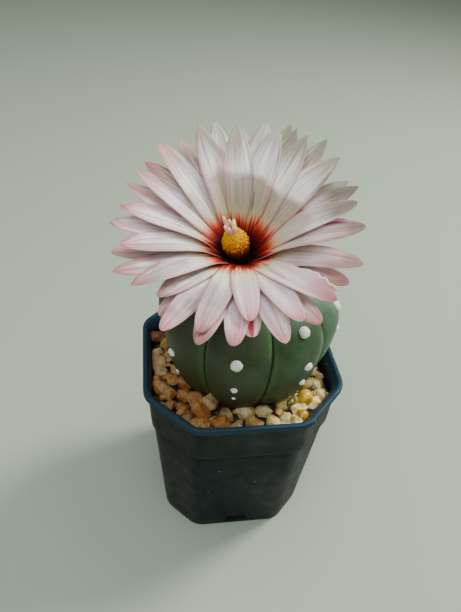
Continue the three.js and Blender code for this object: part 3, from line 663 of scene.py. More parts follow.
def petal_skin(settings):
    """Crimson at the throat, then orange, yellow-green and cream, with a pink blush on edges and tips.

    The mesh gives each point's place across and along its petal, its reach out of the throat, whether it is
    on the inner face, how far at the back its petal is, and where one petal is torn, scarlet or violet.
    """
    finish = Finish("petal_skin", 0.42, Subsurface_Weight=0.5, Subsurface_Scale=0.0016,
                    Subsurface_Radius=(1.0, 0.75, 0.6), Specular_IOR_Level=0.35)
    across, along, reach, tone, back = map(finish.layer, ("across", "along", "reach", "tone", "back"))
    edge = finish.math("ABSOLUTE", across)
    x = finish.coordinate("X")
    fibres = finish.vector(finish.times(across, 9), finish.times(along, 1.6), finish.times(tone, 40))
    streak = finish.noise(1, 3, fibres)
    broad = finish.noise(2.6, 2, fibres)
    dapple = finish.noise(11, 2)

    # Throat colours by rings that reach less far at the edges, with flames
    margin = finish.times(finish.math("POWER", edge, 3), 1.6)
    ring = finish.math("SUBTRACT", reach, margin)
    ring = finish.plus(ring, finish.span(streak, 0.3, 0.7, -1.8, 2.0))
    finish.paint(finish.ramp(finish.span(ring, 0, 30), [*THROAT_TINTS, (0.75, tuple(settings.petal))]))
    # Painted sheen: the left petals whitened from near the throat outward
    finish.paint(LEFT_PETAL_SHEEN, finish.times(finish.span(ring, 11.5, 15, 0.0, 0.8), finish.span(x, -5, -11)))
    lilac = finish.times(finish.span(broad, 0.38, 0.60, 0.0, 0.68), finish.span(reach, 9, 18))
    finish.paint(LILAC_SHADE, lilac)

    # Far petals: cream in the sun, olive in the shade nearer the throat
    far = finish.times(finish.span(back, 0.25, 0.60), finish.span(x, -18, -6))
    sunny = finish.plus(reach, finish.span(dapple, 0.35, 0.65, -2, 2))
    finish.paint(SUNLIT, finish.times(far, finish.span(sunny, 21, 24, 0.0, 0.92)))
    olive = finish.times(far, finish.span(sunny, 24.5, 21.5, 0.0, 0.88), finish.span(ring, 10, 14))
    finish.paint(OLIVE_SHADE, olive)

    # Pink: streaks, seams between petals, rims and tips
    pink = finish.times(finish.span(streak, 0.42, 0.64, 0.0, 0.7), finish.span(reach, 10, 22, 0.0, 0.9))
    finish.paint(STREAK_PINK, pink)
    finish.paint(SEAM_RED, finish.times(finish.span(edge, 0.80, 1.0, 0.0, 0.85), finish.span(reach, 26, 13)))
    blush = tuple(settings.blush)
    finish.paint(blush, finish.times(finish.span(edge, 0.70, 1.0, 0.0, 0.7), finish.span(reach, 11, 24)))
    right = finish.span(x, 8, 20)
    lengthened = finish.math("MAXIMUM", finish.times(right, 0.12), finish.span(back, 0.4, 0.8, 0.0, 0.10))
    tip = finish.plus(finish.plus(along, finish.span(broad, 0.3, 0.7, -0.10, 0.08)), lengthened)
    tip = finish.times(finish.span(tip, 0.80, 0.98, 0.0, 0.9), finish.span(tone, 0, 1, 0.7, 1.0))
    # Olive-grey tips at the back and the right: partly their own colour, partly painted floor colour seen
    # through them
    olive_tips = finish.times(finish.span(back, 0.15, 0.45), finish.span(x, -26, -12, 0.2, 1.0))
    olive_tips = finish.math("MAXIMUM", olive_tips, finish.span(x, 16, 21, 0.0, 0.8))
    finish.paint(finish.blend(olive_tips, blush, OLIVE_TIP_SHOW_THROUGH), tip)
    flush = finish.plus(along, finish.span(streak, 0.3, 0.7, -0.05, 0.05))
    finish.paint(TIP_RED, finish.times(finish.span(flush, 0.93, 1.0, 0.0, 0.7), finish.span(olive_tips, 1.0, 0.2)))

    # Soft dapples of shade on the front and right petals and on the left ones
    beside = finish.math("ABSOLUTE", finish.plus(x, 1))
    dusk = finish.times(finish.span(back, 0.50, 0.20), finish.span(beside, 3, 13, 0.1, 0.85))
    dusk = finish.math("MAXIMUM", dusk, finish.times(right, finish.span(along, 0.45, 0.75, 0.2, 0.8)))
    dusk = finish.times(dusk, finish.span(dapple, 0.64, 0.44, 0.35, 1.0), finish.span(reach, 8, 16))
    finish.paint(DUSK, dusk, "MULTIPLY")
    veil = finish.span(dapple, 0.54, 0.40, 0.0, 0.45)
    veil = finish.times(veil, finish.span(x, -4, -16), finish.span(reach, 12, 18))
    finish.paint(VEIL, veil, "MULTIPLY")

    # Marks of single petals
    finish.paint(FRAYED, finish.layer("frayed"))
    band = finish.times(finish.span(edge, 0.45, 0.2), finish.span(along, 0.45, 0.6), finish.layer("scarlet"))
    finish.paint(SCARLET, band)
    finish.paint(VIOLET, finish.layer("violet"))

    # The outer face, paler, with a browner midrib
    stripe = finish.times(finish.span(edge, 0.10, 0.45, 1.0, 0.0), finish.span(along, 0.15, 0.9, 0.85, 0.45))
    outer = finish.blend(stripe, OUTER_FACE, OUTER_STRIPE)
    outer = finish.blend(finish.span(streak, 0.4, 0.7, 0.0, 0.4), outer, OUTER_STREAK)
    outer = finish.blend(finish.span(reach, 6, 11), OUTER_FOOT, outer)
    finish.paint(outer, finish.span(finish.layer("inside"), 1, 0))
    finish.rough(finish.span(streak, 0.3, 0.7, 0.36, 0.52))
    finish.bump(streak, 0.10)
    return finish.material


def crimson_cup():
    """Near-black crimson, a little lighter in patches."""
    finish = Finish("crimson_cup", 0.5)
    finish.paint(finish.ramp(finish.noise(1), CUP_TINTS))
    finish.bump(finish.noise(0.6), 0.1)
    return finish.material


def stamen_skin():
    """Filaments run from near-black crimson at the foot, through orange-brown, to gold."""
    finish = Finish("stamen_skin", 0.75, Specular_IOR_Level=0.05)
    pollen = finish.noise(0.25)
    finish.paint(finish.ramp(finish.layer("rise"), STAMEN_TINTS))
    finish.paint(POLLEN, finish.span(pollen, 0.5, 0.75, 0.0, 0.3))
    finish.bump(pollen, 0.06)
    return finish.material


def stigma_skin():
    """The style is orange at its foot and its lobes are cream at their tips."""
    finish = Finish("stigma_skin", 0.55, Subsurface_Weight=0.25, Subsurface_Scale=0.0008)
    velvet = finish.noise(0.22)
    finish.paint(finish.ramp(finish.layer("rise"), STIGMA_TINTS))
    finish.paint(VELVET, finish.span(velvet, 0.5, 0.75, 0.0, 0.4))
    finish.bump(velvet, 0.08)
    return finish.material


def resin_coat(name, shade):
    """Glossy cloudy resin over a bead."""
    finish = Finish(name, 0.30, IOR=1.5, Coat_Weight=0.3, Coat_Roughness=0.10, Subsurface_Weight=0.2,
                    Subsurface_Scale=0.0012)
    stops = [(0.3, brighter(shade, 0.5)), (0.5, shade), (0.72, brighter(shade, 1.25, 0.005))]
    finish.paint(finish.ramp(finish.noise(1.4), stops))
    finish.bump(finish.noise(0.9, 2), 0.05)
    return finish.material


def pale_ground(settings):
    """The floor's plain matt colour."""
    finish = Finish("pale_ground", 0.8)
    finish.paint(tuple(settings.ground))
    return finish.material


# Placing pieces

def new_object(name, shape):
    """A mesh object from millimetre points and blocks of faces."""
    points, faces = shape
    mesh = bpy.data.meshes.new(name)
    mesh.from_pydata((points * MM).tolist(), [], [face for block in faces for face in block.tolist()])
    made = bpy.data.objects.new(name, mesh)
    bpy.context.scene.collection.objects.link(made)
    return made


def add_piece(name, shape, finish, slot, replaced=(), crease=None, **layers):
    """Places a finished piece. Each layer has a value or a colour for each of its points."""
    piece = new_object(name, shape)
    mesh = piece.data
    for key, values in layers.items():
        colour = np.ndim(values) == 2
        layer = mesh.attributes.new(key, "FLOAT_COLOR" if colour else "FLOAT", "POINT")
        layer.data.foreach_set("color" if colour else "value", np.ravel(values).astype(np.float32))
    mesh.shade_smooth()
    if crease is not None:
        mesh.set_sharp_from_angle(angle=math.radians(crease))
    mesh.materials.append(finish)
    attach(piece, "root")
    if replaced:
        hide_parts(*replaced)
    return piece


# Pot

def octagon(half, cut, height):
    """A square with cut corners. Each corner is a short parabola from one side to the next."""
    quarter = np.array([[half - cut, -half], [half, cut - half]])
    turns = [np.round(np.array(Matrix.Rotation(math.pi / 2 * k, 2)), 9) for k in range(4)]
    corners = np.concatenate([quarter @ turn.T for turn in turns])
    before = np.roll(corners, 1, axis=0) - corners
    after = np.roll(corners, -1, axis=0) - corners
    ease = min(CORNER_EASE, cut / 3)
    start = corners + unit(before) * ease
    end = corners + unit(after) * ease
    t = np.linspace(0, 1, CORNER_STEPS + 1)[None, :, None]
    curve = (1 - t) ** 2 * start[:, None] + 2 * t * (1 - t) * corners[:, None] + t ** 2 * end[:, None]
    ring = curve.reshape(-1, 2)
    return np.column_stack([ring, np.full(len(ring), height)])


def outer_face(height):
    """The outer half width and cut: straight from the foot to the step and from the step to the lip."""
    heights = [0, STEP_HEIGHT, STEP_HEIGHT + 0.5, LIP_FOOT]
    half = np.interp(height, heights, [BASE_HALF, STEP_HALF - STEP_DEPTH, STEP_HALF, WALL_HALF])
    return half, np.interp(height, heights, [BASE_CUT, STEP_CUT, STEP_CUT, RIM_CUT])


def inner_face(height):
    """The inner half width and cut: the outer ones less the wall, and less the lip's width at the top."""
    heights = [0, STEP_HEIGHT, LIP_FOOT, POT_TOP]
    insets = np.array([WALL, WALL, WALL, LIP_WIDTH])
    halves = [BASE_HALF, STEP_HALF - STEP_DEPTH, WALL_HALF, RIM_HALF] - insets
    cuts = [BASE_CUT, STEP_CUT, RIM_CUT, RIM_CUT] - insets * CUT_PER_INSET
    return np.interp(height, heights, halves), np.interp(height, heights, cuts)


def pot_shape():
    """Octagons stacked up the outside, over the lip and down the inside to the floor."""
    inner_edge = LIP_WIDTH - LIP_THINNED
    wall = [(0.0, 0.5), (0.15, 0.2), (0.5, 0.0), (STEP_HEIGHT - 0.3, 0.0), (STEP_HEIGHT, 0.0),
            (STEP_HEIGHT + 0.2, 0.12), (STEP_HEIGHT + 0.5, 0.1), (STEP_HEIGHT + 0.9, 0.0),
            (LIP_EDGE - 0.4, 0.0), (LIP_EDGE, -0.15)]
    rim = [(LIP_EDGE, 0.0), (LIP_EDGE + 0.3, 0.0), (POT_TOP - 0.5, 0.0), (POT_TOP - 0.16, 0.14),
           (POT_TOP, 0.4), (POT_TOP, inner_edge - 0.35), (POT_TOP - 0.12, inner_edge - 0.08)]
    rings = []
    for height, inset in wall:
        half, cut = outer_face(height)
        rings.append(octagon(half - inset, cut - inset * CUT_PER_INSET, height))
    for height, inset in rim:
        rings.append(octagon(RIM_HALF - inset, RIM_CUT - inset * CUT_PER_INSET, height))
    for height in [POT_TOP - 0.5, LIP_FOOT, STEP_HEIGHT, FLOOR + 0.6, FLOOR]:
        half, cut = inner_face(height)
        wider = LIP_THINNED * (height > LIP_FOOT)
        rings.append(octagon(half + wider, cut + wider * CUT_PER_INSET, height))
    rings[-1][:, :2] *= 0.98
    return tube(np.array(rings))


def slot_cutter(turn):
    """An outline with a blunted half sine wave for its top, carried inward through the foot of one wall."""
    half = SLOT_WIDTH / 2
    angle = np.linspace(0, np.pi, 15)
    arch = np.column_stack([half * np.cos(angle), mix(SLOT_FOOT, SLOT_HEIGHT, np.sin(angle) ** 0.7)])
    outline = np.concatenate([[[half, SLOT_FOOT]], arch[1:-1], [[-half, SLOT_FOOT]]])
    rings = [np.column_stack([outline[:, 0], np.full(len(outline), depth), outline[:, 1]])
             for depth in (-BASE_HALF - 3, SLOT_REACH - BASE_HALF)]
    return tube(spin(np.array(rings)[:, ::-1], turn))


def hole_cutter(turn):
    """An upright cylinder through the floor."""
    points, faces = turned([(DRAIN_RADIUS, -FLOOR), (DRAIN_RADIUS, 2.2 * FLOOR)], 32)
    return spin(points + [DRAIN_RING, 0, 0], turn), faces


def cut_out(piece, shapes):
    """Cuts closed shapes out of a piece and leaves the result in its mesh."""
    cutter = new_object("cutter", gather(shapes))
    cut = piece.modifiers.new("openings", "BOOLEAN")
    cut.operation = "DIFFERENCE"
    cut.solver = "EXACT"
    cut.object = cutter
    done = bpy.data.meshes.new_from_object(piece.evaluated_get(bpy.context.evaluated_depsgraph_get()))
    piece.modifiers.clear()
    done.name = piece.name
    piece.data = done
    bpy.data.objects.remove(cutter)


# Gravel

def dice(seed):
    """Repeatable numbers between 0 and 1 by a linear congruence, as the solid stones were drawn."""
    state = seed
    while True:
        state = (state * 1664525 + 1013904223) % 4294967296
        yield state / 4294967296


def keep_in_pot(points):
    """Points beyond the pot's inner face are pressed flat against it."""
    half, cut = inner_face(points[:, 2])
    x = np.clip(points[:, 0], WALL_GAP - half, half - WALL_GAP)
    y = np.clip(points[:, 1], WALL_GAP - half, half - WALL_GAP)
    excess = np.maximum(0, np.abs(x) + np.abs(y) - (2 * half - cut - WALL_GAP * math.sqrt(2))) / 2
    return np.column_stack([x - np.sign(x) * excess, y - np.sign(y) * excess, points[:, 2]])


def in_pot(x, y, height, inset):
    """Whether a place is at least the inset away from the pot's inner face."""
    half, cut = inner_face(height)
    return max(abs(x), abs(y)) < half - inset and abs(x) + abs(y) < 2 * half - cut - inset * math.sqrt(2)


def body_reach(height):
    """The radius of the lower half of the body, a quarter ellipse."""
    return BODY_RADIUS * math.sqrt(1 - min(1, (EQUATOR - height) / ROOT_DEPTH) ** 2)


def stone_places():
    """Where the main stones lie: drawn places that keep their spacing, between the body and the wall."""
    draw = dice(PLACE_SEED)
    places = []
    near_body = body_reach(STONE_LEVEL) + 0.6
    for _ in range(STONE_TRIES):
        x = (next(draw) - 0.5) * 2 * RIM_HALF
        y = (next(draw) - 0.5) * 2 * RIM_HALF
        free = in_pot(x, y, STONE_LEVEL, 1.6) and math.hypot(x - BODY_X, y - BODY_Y) > near_body
        if free and all(math.hypot(a - x, b - y) > STONE_SPACING for a, b in places):
            places.append((x, y))
    return places


def stone_level(x):
    """Where the stones' middles lie, a little lower toward the right."""
    return STONE_LEVEL - 1.3 * smoothstep(x, 6, 26)


def icosahedron():
    """Its twelve corners, its faces, and the pairs of corners that its edges join."""
    gold = (1 + math.sqrt(5)) / 2
    corners = np.array([
        [-1, gold, 0], [1, gold, 0], [-1, -gold, 0], [1, -gold, 0], [0, -1, gold], [0, 1, gold],
        [0, -1, -gold], [0, 1, -gold], [gold, 0, -1], [gold, 0, 1], [-gold, 0, -1], [-gold, 0, 1],
    ])
    gap = np.linalg.norm(corners[:, None] - corners[None], axis=2)
    first, second = np.nonzero(np.triu(np.isclose(gap, 2.0)))
    faces = [(a, b, c) for a in range(12) for b in range(a + 1, 12) for c in range(b + 1, 12)
             if max(gap[a, b], gap[b, c], gap[a, c]) < 2.1]
    outward = [face if np.linalg.det(corners[list(face)]) > 0 else face[::-1] for face in faces]
    return corners / np.linalg.norm(corners[0]), outward, np.column_stack([first, second])


def lump(push):
    """A stone of 80 faces: an icosahedron with its corners pushed in or out, and its steep edges ridged."""
    corners, faces, edges = icosahedron()
    pushed = corners * push[:, None]
    ridge = 0.98 + 0.35 * np.abs(push[edges[:, 0]] - push[edges[:, 1]])
    middles = pushed[edges].mean(axis=1) * ridge[:, None]
    middle = {tuple(sorted(edge)): 12 + k for k, edge in enumerate(edges.tolist())}
    rows = []
    for a, b, c in faces:
        ab, bc, ca = (middle[tuple(sorted(pair))] for pair in ((a, b), (b, c), (c, a)))
        rows += [(a, ab, ca), (ab, b, bc), (ca, bc, c), (ab, bc, ca)]
    return np.concatenate([pushed, middles]), [np.array(rows)]


def main_stones():
    """The stones of the solid gravel, with the same draws and rounder faces."""
    draw = dice(SHAPE_SEED)
    shapes = []
    for x, y in stone_places():
        push = np.empty(12)
        for corner in FIRST_SEEN:
            push[corner] = mix(*STONE_PUSH, next(draw))
        size = mix(*STONE_SIZE, next(draw))
        breadth = size * mix(*STONE_BREADTH, next(draw))
        thickness = size * mix(*STONE_FLATNESS, next(draw))
        points, faces = lump(push)
        points = points * [size, breadth, thickness]
        for axis in "XY":
            points = spin(points, math.degrees(mix(-STONE_TILT, STONE_TILT, next(draw))), axis)
        points = spin(points, 360 * next(draw))
        level = stone_level(x) + mix(-0.5, 0.7, next(draw))
        shapes.append((keep_in_pot(points + [x, y, level]), faces))
    return shapes


def small_stones(count):
    """Smaller stones strewn over the same ground, which fill the gaps between the main ones."""
    draw = np.random.default_rng(11)
    least, most = np.transpose([FILLER_LENGTH, STONE_BREADTH, STONE_FLATNESS])
    shapes = []
    while len(shapes) < count:
        x, y = draw.uniform(-RIM_HALF, RIM_HALF, 2)
        if not in_pot(x, y, STONE_LEVEL, 0.9):
            continue
        if math.hypot(x - BODY_X, y - BODY_Y) < body_reach(STONE_LEVEL) - 0.4:
            continue
        points, faces = lump(draw.uniform(*STONE_PUSH, 12))
        size = draw.uniform(*FILLER_SIZE)
        points = points * (size * draw.uniform(least, most))
        points = spin(spin(points, draw.uniform(-35, 35), "X"), draw.uniform(0, 360))
        level = stone_level(x) + draw.uniform(-1.4, 0.6)
        shapes.append((keep_in_pot(points + [x, y, level]), faces))
    return shapes


def stone_colours(shapes):
    """One colour for each stone: more tan and orange at the left, more pale quartz at the right."""
    draw = np.random.default_rng(5)
    tints = []
    for points, _ in shapes:
        right = smoothstep(points[:, 0].mean(), -6, 12)
        shares = mix(LEFT_SHARES, RIGHT_SHARES, right)
        kind = draw.choice(len(STONE_TINTS), p=shares / shares.sum())
        colour = STONE_TINTS[kind] * draw.uniform(0.88, 1.15)
        tints.append(np.tile([*colour, 1.0], (len(points), 1)))
    return np.concatenate(tints)


def gravel_bed():
    """The dark fines under the stones: octagons shrunk toward the middle, with a rippled height."""
    half, cut = inner_face(GRAVEL_BED)
    edge = octagon(half - 0.3, cut, GRAVEL_BED)
    share = np.linspace(1, 0.04, 40)[:, None, None]
    top = edge[None] * [1, 1, 0] * share + [0, 0, GRAVEL_BED]
    top[..., 2] += 0.35 * ripple(top, 2.2, 3)
    bottom = edge[None] * [0.97, 0.97, 0] + [0, 0, GRAVEL_BED - BED_DEPTH]
    return tube(np.concatenate([bottom, top]))


def bead(radius, place, seed):
    """A sphere with shallow dents, made by ripples of its radius."""
    rings = sphere(np.radians(np.linspace(-88, 88, 25))[:, None], full_turn(40))
    dents = 1 + 0.018 * ripple(rings, 1.2, seed)
    return tube(rings * dents[..., None] * radius + place)


# Body

def skin_point(azimuth, latitude):
    """A point of the skin, and how near it is to a groove's seam.

    The body is a spheroid with a flatter crown. A power of a cosine wave draws it in at its eight grooves,
    and a bell curve dips its crown.
    """
    height = np.where(latitude < 0, ROOT_DEPTH, CROWN_HEIGHT)
    crest = np.abs(np.cos(RIBS / 2 * np.radians(azimuth - RIB_TURN)))
    scallop = 1 - GROOVE_DEPTH * (1 - crest ** GROOVE_SHARPNESS)
    radius = BODY_RADIUS * np.cos(np.radians(latitude)) * scallop
    dip = np.where(latitude > 0, CROWN_DIP * np.exp(-((radius / DIP_RADIUS) ** 2)), 0)
    turn = np.radians(azimuth)
    level = EQUATOR + height * np.sin(np.radians(latitude)) - dip
    return together(BODY_X + radius * np.sin(turn), BODY_Y - radius * np.cos(turn), level), 1 - crest


def body_shape():
    """The skin, faintly rippled, on a grid of latitudes and of azimuths that crowd toward the grooves."""
    across = np.arange(RIB_COLUMNS) / RIB_COLUMNS * 2 - 1
    eased = np.sign(across) * (1 - (1 - np.abs(across)) ** 1.7)
    azimuth = (RIB_TURN + (np.arange(RIBS)[:, None] + eased / 2) * 360 / RIBS).reshape(-1)
    bands = [(-79, -44, 16), (-42, 72, 90), (73.5, 89, 12)]
    latitude = np.concatenate([np.linspace(*band) for band in bands])
    points, groove = skin_point(*np.meshgrid(azimuth, latitude))
    points = points + SKIN_RIPPLE * ripple(points, 17, 8)[..., None] * [1.0, 1.0, 0.4]
    return tube(points), groove.reshape(-1)


def areole_radius(latitude):
    """The areoles get smaller in steps toward the gravel."""
    return next(radius for limit, radius in AREOLE_RADII if latitude < limit)


def areole_frames():
    """For each areole its seat, its outward direction, two directions along the skin and its radius."""
    rows = []
    for rib, latitudes in enumerate(AREOLES):
        azimuth = RIB_TURN + rib * 360 / RIBS
        for latitude in latitudes:
            seat = skin_point(azimuth, latitude)[0]
            upward = unit(skin_point(azimuth, latitude + 1)[0] - seat)
            turn = math.radians(azimuth)
            beside = np.array([math.cos(turn), math.sin(turn), 0])
            rows.append((seat, np.cross(beside, upward), beside, upward, areole_radius(latitude)))
    return rows


def wool_cushions():
    """Each areole's felt: a flattened half sphere whose radius is rippled."""
    shapes = []
    dome = sphere(np.radians(np.linspace(-10, 86, 13))[:, None], full_turn(28))
    for number, (seat, outward, beside, upward, size) in enumerate(areole_frames()):
        lumps = size * (1 + 0.05 * ripple(dome, 0.9, number)[..., None])
        shapes.append(tube(seat + (dome * lumps * [1, 1, FELT_RISE]) @ np.array([beside, upward, outward])))
    return gather(shapes)


def wool_hairs(per_areole):
    """Short curled hairs that stand out of the felt, each along a parabola."""
    draw = np.random.default_rng(17)
    paths = []
    radii = []
    for seat, outward, beside, upward, size in areole_frames():
        turn = draw.uniform(0, 2 * np.pi, per_areole)
        offset = np.sqrt(draw.uniform(0, 1, per_areole)) * 0.92
        sideways = np.cos(turn)[:, None] * beside + np.sin(turn)[:, None] * upward
        root = seat + sideways * (offset * size)[:, None]
        root = root + outward * (size * 0.66 * np.sqrt(1 - offset ** 2))[:, None]
        heading = outward * 0.8 + sideways * (0.25 + offset)[:, None]
        heading = unit(heading + draw.normal(0, 0.35, (per_areole, 3)))
        curl = draw.normal(0, 0.45, (per_areole, 3))
        rise = np.linspace(-0.15, 1, 5)[None, :, None]
        length = (size * draw.uniform(*FELT_HAIR_LENGTH, per_areole))[:, None, None]
        paths.append(root[:, None] + length * (rise * heading[:, None] + rise ** 2 * curl[:, None]))
        taper = np.linspace(*FELT_HAIR_RADII, 5) * (0.6 + 0.25 * size)
        radii.append(np.broadcast_to(taper, (per_areole, 5)))
    return strands(np.concatenate(paths), np.concatenate(radii), 3)


# Bloom

def on_bloom(points):
    """Points of the bloom's own frame in the plant's frame."""
    tilt = math.radians(BLOOM_TILT)
    heading = math.radians(BLOOM_HEADING)
    axis = Vector((math.sin(tilt) * math.sin(heading), -math.sin(tilt) * math.cos(heading), math.cos(tilt)))
    turn = np.array(Vector((0, 0, 1)).rotation_difference(axis).to_matrix())
    return points @ turn.T + THROAT


def on_bundle(points):
    """Points of the leaning bundle of stamens in the plant's frame."""
    leaned = spin(points - [0, 0, BUNDLE_FOOT], BUNDLE_LEAN, "Y")
    return on_bloom(leaned + [BUNDLE_SIDE, 0, BUNDLE_FOOT])


def backness(azimuth):
    """0 for a petal at the front, 1 for one at the back, and a cosine wave between."""
    return 0.5 - 0.5 * np.cos(np.radians(azimuth))


def petal_lift(azimuth):
    """Degrees above level toward a petal's tip: most at the back, and more at the right than at the left."""
    return 20 - 12 * np.cos(np.radians(azimuth)) + 6 * np.sin(np.radians(azimuth))


def petal_half(along, width, bluntness):
    """Half the width: a steepened quarter sine wave up to PETAL_WIDEST, times a round fall to the tip."""
    rise = np.sin(np.pi / 2 * np.minimum(along / PETAL_WIDEST, 1))
    fall = 1 - np.maximum(0, (along - PETAL_FALL) / (1 - PETAL_FALL)) ** 3.0
    outline = PETAL_ROOT_HALF * (1 - along) + width / 2 * rise ** 0.62 * fall ** bluntness
    return np.maximum(PETAL_TIP_HALF, outline)


def midrib(azimuth, length, rise, root, lift, along):
    """A cubic curve from the throat to the tip, as (radius, height) points in the petal's radial plane.

    A petal at the front leaves the throat more flatly than one at the back.
    """
    front = 1 - backness(azimuth)
    slant = np.radians(petal_lift(azimuth) + lift)
    reach = length * np.cos(slant)
    height = length * np.sin(slant)
    corners = [
        (root - 0.7, CUP_RIM - 3.0),
        (root + 1 + 2.2 * front, rise + 1 - 2.2 * front),
        (reach / 2, height / 2 + rise * 0.6 + 2.2 - 1.4 * front),
        (reach, height),
    ]
    return bezier([np.stack(np.broadcast_arrays(*corner), axis=-1) for corner in corners], along)


def petal_relief(azimuth, length, half, across, along, draw):
    """How far a petal's surface stands off its midrib.

    It rises toward the edges by a square law, sinks in a bell curve along the middle, swells in cosine folds
    beside that, waves like a sine at the edges and curls by a high power of its length at the tip.
    """
    own = np.random.default_rng(azimuth + 400 * int(length))
    open_share = smoothstep(along, 0.1, 0.5)
    roll = 0.055 + own.uniform(-0.12, 0.12)
    channel = half * open_share * (own.uniform(0.06, 0.14) * across ** 2 + roll * across)
    fold = -PETAL_FOLD * np.exp(-((across / 0.13) ** 2)) * smoothstep(along, 0.15, 0.4)
    fold = fold * (1 - 0.8 * along ** 4)
    swell = np.cos(across * np.pi * draw.uniform(2.6, 3.6) + draw.uniform(-1, 1))
    side_folds = SIDE_FOLDS * swell * open_share
    phase = draw.uniform(0, 2 * np.pi, 2)[0]
    wave = EDGE_WAVE * np.abs(across) ** 3 * np.sin(along * 7.0 + phase + 1.3 * across) * open_share
    return channel + fold + side_folds + wave + draw.uniform(-0.3, 1.6) * along ** 8


def rib_reach(rib, azimuth):
    """How far out midrib points count for the throat's colours, which reach furthest at the front left.

    It is the distance from the middle of the cup's rim, times 1 plus a wave of the azimuth.
    """
    turn = np.radians(azimuth)
    skew = 1 + 0.11 * (1 - np.cos(turn)) + 0.11 * np.sin(turn)
    return np.hypot(rib[..., 0], np.maximum(0, rib[..., 1] - CUP_RIM)) * skew


def petal(azimuth, length, rise, root, lift, settings, draw):
    """One petal with its layers: rings round its midrib, thin at the edges and toward the tip.

    One side of the torn petal is cut back by ripples along its length.
    """
    along = np.sin(np.linspace(0, np.pi / 2, TORN_RINGS if azimuth == TORN_AZIMUTH else PETAL_RINGS))[:, None]
    rib = midrib(azimuth, length, rise, root, lift, along)
    slope = unit(np.gradient(rib, axis=0))
    normal = np.column_stack([-slope[:, 1], slope[:, 0]])
    flat = np.linspace(-1, 1, 13)
    whole = np.broadcast_to(np.concatenate([flat, flat[::-1]]), (len(along), 2 * len(flat)))
    face = np.repeat([-1.0, 1.0], len(flat))
    back = backness(azimuth)
    bluntness = draw.uniform(0.38, 0.50) + 0.42 * back
    width = settings.petal_width / MM * (1 - 0.2 * (1 - back) ** 2) * draw.uniform(0.95, 1.06)
    half = petal_half(along, width, bluntness)
    torn = (azimuth == TORN_AZIMUTH) * smoothstep(along, 0.30, 0.42) * smoothstep(whole, 0.0, 0.5)
    line = along * [1.0, 0.0, 0.0]
    ragged = 0.40 + 0.22 * ripple(line, 0.16, 2) + 0.13 * ripple(line, 0.045, 5)
    across = whole * (1 - torn * ragged[:, None])
    relief = petal_relief(azimuth, length, half, across, along, draw)
    thick = settings.petal_thickness / MM / 2 * (0.3 + 0.7 * (1 - across ** 2)) * (1 - 0.6 * along ** 6)
    lifted = relief + face * thick
    sway = draw.uniform(-0.5, 0.5) * np.sin(np.pi * along)
    outward = rib[:, :1] + normal[:, :1] * lifted
    upward = rib[:, 1:] + normal[:, 1:] * lifted
    points = spin(together(across * half + sway, -outward, upward), azimuth)
    violet = (azimuth == VIOLET_AZIMUTH) * (smoothstep(along, 0.50, 0.56) - smoothstep(along, 0.86, 0.92))
    layers = {
        "across": across,
        "along": along,
        "reach": rib_reach(rib, azimuth)[:, None],
        "back": back,
        "inside": (face + 1) / 2,
        "tone": draw.uniform(),
        "frayed": torn * smoothstep(whole, 0.62, 0.95),
        "scarlet": float(azimuth == SCARLET_AZIMUTH),
        "violet": violet * smoothstep(across, 0.62, 0.82),
    }
    return tube(points), spread(layers, across.shape)


def throat_funnel():
    """The thin funnel under the petals' roots, up the cup's wall and out under the outer whorl's midribs."""
    azimuth = np.arange(FUNNEL_COLUMNS) / FUNNEL_COLUMNS * 360
    along = np.linspace(0.01, 0.42, 18)[:, None, None]
    rib = midrib(azimuth, FUNNEL_LENGTH, rise=-1.0, root=4.7, lift=-3, along=along)
    wall = np.linspace(*FUNNEL_WALL, 6)[:, None]
    rib = np.concatenate([np.broadcast_to(wall, (6, FUNNEL_COLUMNS, 2)), rib])
    turn = np.radians(azimuth)
    upper = together(rib[..., 0] * np.sin(turn), -rib[..., 0] * np.cos(turn), rib[..., 1])
    rings = np.concatenate([upper - [0, 0, FUNNEL_THICKNESS], upper[::-1]])
    reach = rib_reach(rib, azimuth)
    reach = np.concatenate([reach, reach[::-1]])
    rows, count = reach.shape
    around = np.arange(count)
    beside = (around + 1) % count
    last = (rows - 1) * count
    closing = np.column_stack([last + around, last + beside, beside, around])
    layers = {
        "across": 0.0,
        "along": np.clip(reach / FUNNEL_LENGTH, 0, 1),
        "reach": reach,
        "back": 0.5,
        "inside": np.repeat([0.0, 1.0], rows // 2)[:, None],
        "tone": 0.5,
        "frayed": 0.0,
        "scarlet": 0.0,
        "violet": 0.0,
    }
    return (rings.reshape(-1, 3), [grid_faces(rows, count), closing]), spread(layers, reach.shape)


def petal_shapes(settings):
    """The three whorls and the funnel under them as one shape, with their layers."""
    draw = np.random.default_rng(23)
    made = []
    for petals, rise, root, lift in WHORLS:
        made += [petal(azimuth, length, rise, root, lift, settings, draw) for azimuth, length in petals]
    made.append(throat_funnel())
    points, faces = gather([shape for shape, _ in made])
    layers = {key: np.concatenate([values[key] for _, values in made]) for key in made[0][1]}
    return (on_bloom(points), faces), layers


def turned_cup(wall):
    """A wall's profile turned about the bloom's axis, open at the top."""
    points, faces = turned(wall, 48)
    return on_bloom(points), faces


def radius_at(height, outline):
    """An outline's radius at a height, straight between its points."""
    radii, heights = np.transpose(outline)
    return np.interp(height, heights, radii)


